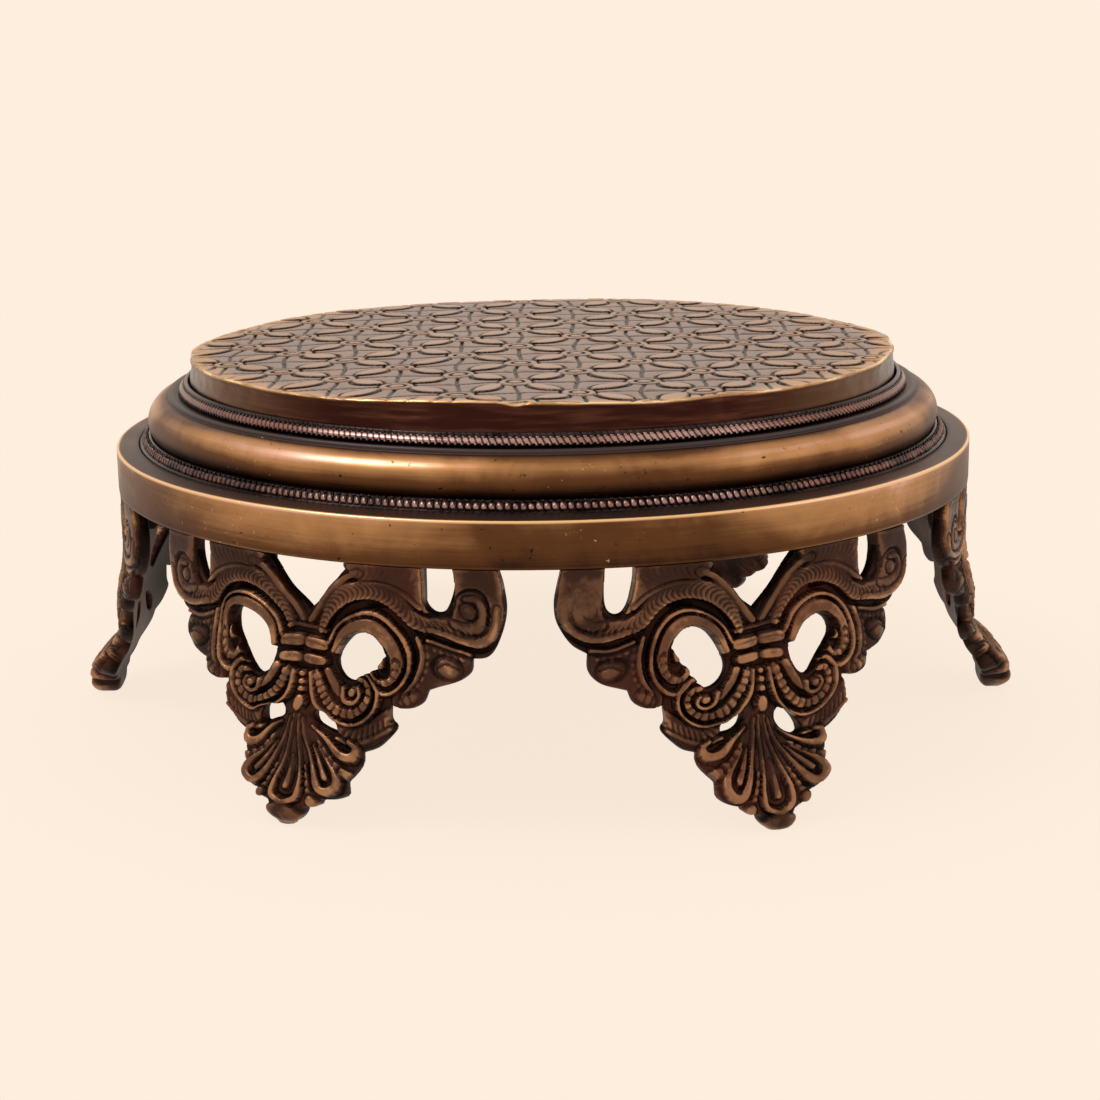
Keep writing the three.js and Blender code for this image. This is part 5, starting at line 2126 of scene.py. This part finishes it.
@dataclass
class RingStack:
    """The turned rings between the legs and the top, with their two milled strips."""

    apron_radius: float
    apron_wall: float
    leg_height: float
    apron_rim: float
    ledge_top: float
    apron_seat: float
    flange_under: float
    moulding_seat: float
    roll_radius: float = 8.1
    roll_setback: float = 19.6
    roll_lift: float = 8.3
    flange_inner: float = 116.0
    top_outer: float = 126.5

    FOOT_ANGLE = -46.0
    ROLL_WALL = 4.5

    def __post_init__(self) -> None:
        """Place the roll's centre and its foot."""
        self.roll_centre = (self.apron_radius - self.roll_setback, self.apron_seat + self.roll_lift)
        self.foot = self.roll_centre[0] + self.roll_radius * math.cos(math.radians(self.FOOT_ANGLE))

    def build(self, golden: GoldenTurned, coppery: CopperyStrip) -> None:
        """Make the four rings.

        Args:
            golden: Finish of the two big rings.
            coppery: Finish of the two strips.
        """
        apron = TurnedRing("apron_band", self._apron_section(), 0.1, 2.0)
        roll = TurnedRing("round_moulding", self._roll_section(), 0.16, 5.0)
        for ring, finish_name, node in ((apron, "golden_apron", "apron_ring"),
                                        (roll, "golden_roll", "round_moulding_ring")):
            material = golden.material(finish_name)
            finished_piece(ring.name, ring.sweep(material), material, [node])
        for ring, piece, side in ((self._upper_strip(), "upper_toothed_strip", "upper"),
                                  (self._lower_strip(), "lower_beaded_strip", "lower")):
            ribbed = replace(coppery, ribs=ring.garlands[0].count)
            material = ribbed.material(f"coppery_{side}_strip")
            finished_piece(piece, ring.sweep(material), material, [f"{side}_milled_strip"])

    def _apron_section(self) -> list[SectionPoint]:
        """Draw the apron band with its ledge and inner flange.

        Returns:
            The section's points.
        """
        outer, inner = self.apron_radius, self.apron_radius - self.apron_wall
        low, rim, ledge = self.leg_height, self.apron_rim, self.ledge_top
        # The tone rises up the outer wall: painted shade low on the apron, lighter towards its top.
        wall = ((0.08, 0.3), (0.2, 0.44), (0.4, 0.6), (0.6, 0.7), (0.8, 0.76), (0.93, 0.86))
        return [
            *section_points((inner, low, 0.3), (outer - 0.6, low, 0.4), (outer - 0.1, low + 0.35, 0.55)),
            *section_points(*((outer, low + (rim - low) * share, tone) for share, tone in wall)),
            # A tone above 1.05 on the rounded top edge paints a highlight line there.
            *rounded_corner((outer - 0.7, rim - 0.7), 0.7, 0.0, 80.0, 4, (1.15, 1.35)),
            *section_points(
                (outer - 1.4, rim + 0.1, 0.4, 0.3), (outer - 3.0, rim + 0.3, 0.3, 0.6),
                (outer - 6.0, rim + 0.6, 0.3, 0.5), (inner + 0.6, ledge, 0.12), (inner, ledge - 0.3, 0.1),
                (inner, self.apron_seat, 0.1), (self.flange_inner, self.apron_seat, 0.2),
                (self.flange_inner, self.flange_under, 0.3), (inner - 1.0, self.flange_under, 0.3),
                (inner, self.flange_under - 1.0, 0.3))]

    def _roll_section(self) -> list[SectionPoint]:
        """Draw the round moulding with its lip under the upper strip.

        Returns:
            The section's points.
        """
        centre, radius, seat = self.roll_centre, self.roll_radius, self.moulding_seat
        return [
            *section_points((self.foot - 4.5, self.apron_seat, 0.1), (self.foot, self.apron_seat, 0.0)),
            # The tone paints shade on the roll's lower half, darkest at its foot, and a highlight on its
            # upper half, brightest near 40 degrees.
            *rounded_corner(centre, radius, self.FOOT_ANGLE, 0.0, 10, (0.0, 0.38)),
            *rounded_corner(centre, radius, 6.0, 40.0, 9, (0.5, 1.04)),
            *rounded_corner(centre, radius, 46.0, 78.0, 8, (1.02, 0.5)),
            SectionPoint(centre[0] + 0.9, seat - 1.75, 0.05),
            *rounded_corner((centre[0] - 0.1, seat - 0.8), 0.85, -30.0, 90.0, 6, (0.3, 0.42), 1.0),
            *section_points((centre[0] - 1.6, seat - 0.2, 0.0), (self.flange_inner, seat - 0.2, 0.2),
                            (self.flange_inner, seat - 4.5, 0.3)),
            *rounded_corner(centre, radius - self.ROLL_WALL, 100.0, self.FOOT_ANGLE, 10, (0.25, 0.2))]

    def _upper_strip(self) -> TurnedRing:
        """Draw the toothed strip in the corner between the top's side and the roll.

        Returns:
            The strip.
        """
        inner, outer, seat = self.top_outer + 0.2, self.top_outer + 4.4, self.moulding_seat
        section = [
            *section_points(
                (inner, seat, 0.0), (outer - 0.7, seat, 0.0), (outer - 1.1, seat + 0.5, 0.0),
                (outer - 0.9, seat + 1.0, 0.3), (outer - 0.75, seat + 1.2, 0.8),
                (outer - 1.2, seat + 1.9, 0.95), (outer - 1.9, seat + 2.6, 0.9),
                (outer - 2.3, seat + 2.8, 0.3), (outer - 2.6, seat + 2.7, 0.0)),
            *rounded_corner((inner + 0.8, seat + 3.35), 0.8, -20.0, 150.0, 6, (0.35, 0.42))]
        teeth = Garland(outer - 0.95, seat + 0.95, 2.1, (0.6, 1.25, 1.3), 0.85, -20.0, 0.14, 3)
        dots = Garland(outer - 2.25, seat + 2.85, 2.1, (0.9, 1.2, 0.5), 0.75, 40.0, 0.16, 4)
        return TurnedRing("upper_strip", section, 0.1, 8.0, (teeth, dots))

    def _lower_strip(self) -> TurnedRing:
        """Draw the beaded strip in the corner between the roll's foot and the ledge.

        Returns:
            The strip.
        """
        seat, ledge, foot = self.apron_seat, self.ledge_top, self.foot
        outer = self.apron_radius - self.apron_wall - 0.3
        section = section_points(
            (foot + 0.25, seat, 0.0), (outer, seat, 0.05), (outer, ledge - 0.1, 0.2),
            (outer - 1.0, ledge + 0.2, 0.1), (outer - 1.4, ledge + 1.2, 0.05), (outer - 2.2, seat + 3.0, 0.0),
            (outer - 3.0, seat + 3.7, 0.3), (foot + 2.0, seat + 4.2, 0.35), (foot + 1.35, seat + 3.8, 0.1),
            (foot + 0.6, seat + 1.8, 0.0))
        beads = Garland(outer - 1.75, ledge + 1.35, 2.4, (1.5, 2.15, 2.9), 0.75, -28.0, 0.12, 6)
        bridges = Garland(outer - 2.7, seat + 3.7, 2.6, (1.0, 1.1, 0.7), 0.4, -28.0, 0.25, 7)
        return TurnedRing("lower_strip", section, 0.12, 9.0, (beads, bridges))


class ScrewSet(Enum):
    """The two sets of cheese-head screws."""

    LEGS = "leg_screws"
    TOP = "top_screws"


@dataclass
class Screws:
    """Slotted cheese-head screws, made once for each set and placed at every CAD screw."""

    diameter: float = 4.0
    head: float = 7.0
    head_height: float = 2.6
    bevel: float = 0.4
    slot_width: float = 1.1
    slot_depth: float = 1.3
    sides: int = 24
    crown_steps: int = 10

    def build(self, names: Iterable[str], finish: PlainSteel) -> None:
        """Set both kinds of screw.

        Args:
            names: Names of the CAD nodes.
            finish: The screws' finish.
        """
        material = finish.material("screw_steel")
        screws = sorted(name for name in names if "screw" in name)
        for kind in ScrewSet:
            wanted = [name for name in screws if name.startswith("top_") == (kind is ScrewSet.TOP)]
            mesh = self._set(kind, wanted, material)
            finished_piece(kind.value, mesh, material, wanted)

    def _screw(self, length: float) -> bpy.types.Mesh:
        """Turn one screw along X, its head's face towards -X and its seat at the origin.

        Args:
            length: Length of its shank.

        Returns:
            The mesh, in metres.
        """
        head, shank = self.head / 2.0, self.diameter / 2.0
        half, face, sides = self.slot_width / 2.0, -self.head_height, self.sides
        turns = np.linspace(0.0, 2.0 * math.pi, sides, endpoint=False)
        rings = [(face + self.bevel, head), (0.0, head), (0.0, shank), (length - 1.0, shank),
                 (length, shank * 0.6)]
        points = [(x, r * math.cos(turn), r * math.sin(turn)) for x, r in rings for turn in turns]
        faces = [(ring + side, ring + (side + 1) % sides, ring + sides + (side + 1) % sides,
                  ring + sides + side)
                 for ring in range(0, (len(rings) - 1) * sides, sides) for side in range(sides)]
        faces.append(tuple(range((len(rings) - 1) * sides, len(rings) * sides)))
        rim = head - self.bevel
        edge = math.sqrt(rim**2 - half**2)
        start = math.asin(half / rim)
        crown = np.linspace(start, math.pi - start, self.crown_steps + 1)
        base, size = len(points), len(crown)
        points += [(face, rim * math.cos(turn), side * rim * math.sin(turn)) for side in (1, -1)
                   for turn in crown]
        floor = len(points)
        points += [(face + self.slot_depth, across, aside) for aside in (half, -half)
                   for across in (edge, -edge)]
        last = base + size - 1
        faces += [tuple(range(last, base - 1, -1)), tuple(range(base + size, floor)),
                  (base, last, floor + 1, floor), (floor - 1, base + size, floor + 2, floor + 3),
                  (floor, floor + 1, floor + 3, floor + 2)]
        mesh = bpy.data.meshes.new("screw")
        mesh.from_pydata((np.array(points) * MM).tolist(), [], faces)
        self._close_head(mesh)
        return mesh

    @staticmethod
    def _close_head(mesh: bpy.types.Mesh) -> None:
        """Join the head's bevelled edge to its face and its slot.

        Args:
            mesh: The screw's mesh.
        """
        shape = bmesh.new()
        shape.from_mesh(mesh)
        open_edges = [edge for edge in shape.edges if len(edge.link_faces) == 1]
        bmesh.ops.holes_fill(shape, edges=open_edges, sides=0)
        bmesh.ops.recalc_face_normals(shape, faces=shape.faces)
        shape.to_mesh(mesh)
        shape.free()

    def _seat(self, name: str, vertical: bool) -> tuple[tuple[float, float, float], float]:
        """Find where a CAD screw's head sits and how long its shank is.

        Args:
            name: The CAD node.
            vertical: Whether the screw stands upright, or else points at the table's axis.

        Returns:
            The seat and the length.
        """
        low, high = (np.array(corner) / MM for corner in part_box(name))
        middle = (low + high) / 2.0
        if vertical:
            seat = low[2] + self.head_height
            return (middle[0], middle[1], seat), high[2] - seat
        radii = [vertex.co.xy.length / MM for vertex in bpy.data.objects[name].data.vertices]
        seat = min(radii) + self.head_height
        reach = math.hypot(middle[0], middle[1])
        return (middle[0] / reach * seat, middle[1] / reach * seat, middle[2]), max(radii) - seat

    def _set(self, kind: ScrewSet, names: list[str], material: bpy.types.Material) -> bpy.types.Mesh:
        """Set one kind of screw with Geometry Nodes at the CAD screws' seats.

        Args:
            kind: Which set.
            names: The CAD screws.
            material: Their material.

        Returns:
            One mesh of all the screws.
        """
        vertical = kind is ScrewSet.TOP
        seats, lengths = zip(*(self._seat(name, vertical) for name in names))
        screw = linked("screw_master", self._screw(lengths[-1]))
        spots = bpy.data.meshes.new(kind.value)
        spots.from_pydata((np.array(seats) * MM).tolist(), [], [])

        def grow(bench: Bench, wires: dict[str, Wire]) -> Wire:
            """Place the screw at each seat, turned to point as the CAD's does.

            Args:
                bench: The node group's bench.
                wires: Its inputs, by name.

            Returns:
                The geometry's wire.
            """
            info = bench.node("GeometryNodeObjectInfo", None, {"Object": wires["Screw"]}, "Geometry")
            east, north, _ = bench.axes(bench.node("GeometryNodeInputPosition"))
            tilt = -math.pi / 2.0 if vertical else 0.0
            spin = bench.node("ShaderNodeCombineXYZ", None, {1: tilt, 2: north.of("ARCTAN2", east)})
            return bench.node("GeometryNodeInstanceOnPoints", None,
                              {"Points": wires["Geometry"], "Instance": info, "Rotation": spin})

        mesh = grown_mesh(kind.value, spots, {"Screw": ("NodeSocketObject", screw)}, grow, material)
        bpy.data.objects.remove(screw)
        return mesh


@dataclass(frozen=True)
class CastingSizes:
    """Sizes of the castings that their boxes don't show, in millimetres."""

    moulding_height: float = 17.9
    skirt_height: float = 12.2
    apron_rim: float = 15.2
    apron_wall: float = 8.0
    apron_sides: int = 60
    flange_thickness: float = 4.5
    front_gap: float = 6.95
    lug_width: float = 16.0
    lug_thickness: float = 4.4
    lug_clearance: float = 0.35
    lug_share: float = 0.849


def build_legs(sizes: CastingSizes, radius: float, leg_height: float) -> None:
    """Make the six legs under the apron.

    Args:
        sizes: Sizes of the castings.
        radius: The apron's radius.
        leg_height: Height of the apron's lower edge.
    """
    leg_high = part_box("side_right_leg")[1] / MM
    half_width = radius * math.asin(leg_high.y / radius)
    wall = radius - sizes.apron_wall
    flat_wall = wall * math.cos(math.pi / sizes.apron_sides)
    lug_outer = math.sqrt((flat_wall - sizes.lug_clearance) ** 2 - (sizes.lug_width / 2.0) ** 2)
    setting = LegSetting(radius, leg_height, half_width, leg_high.x - radius)
    legs = CarvedLegs(setting, leg_high.z, lug_outer - sizes.lug_thickness, lug_outer,
                      half_width * sizes.lug_share / 2.0 / wall, sizes.lug_width)
    front = math.degrees((half_width + sizes.front_gap) / radius)
    angles = {"front_left_leg": -90.0 - front, "front_right_leg": -90.0 + front, "side_left_leg": 180.0,
              "side_right_leg": 0.0, "rear_left_leg": 90.0 + front, "rear_right_leg": 90.0 - front}
    legs.build({name: math.radians(angle) for name, angle in angles.items()}, DarkRelief())


def main() -> None:
    """Build the portrait's camera, studio and pieces, and report each one."""
    logging.basicConfig(level=logging.INFO, format="%(name)s %(message)s")
    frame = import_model()
    PortraitCamera().build()
    Studio().build()
    sizes = CastingSizes()
    apron_low, apron_high = (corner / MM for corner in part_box("apron_ring"))
    moulding_seat = (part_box("round_moulding_ring")[1] / MM).z
    skirt_seat = (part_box("top_plate")[0] / MM).z
    radius, leg_height = apron_high.x, apron_low.z
    seat = moulding_seat - sizes.moulding_height
    stack = RingStack(radius, sizes.apron_wall, leg_height, leg_height + sizes.apron_rim, apron_high.z, seat,
                      seat - sizes.flange_thickness, moulding_seat)
    stack.build(GoldenTurned(), CopperyStrip())
    top = EngravedTop(stack.top_outer - EngravedTop.flare, skirt_seat + sizes.skirt_height, skirt_seat)
    top.build(GreyedTop())
    build_legs(sizes, radius, leg_height)
    Screws().build(frame["nodes"], PlainSteel())


if __name__ == "__main__":
    main()
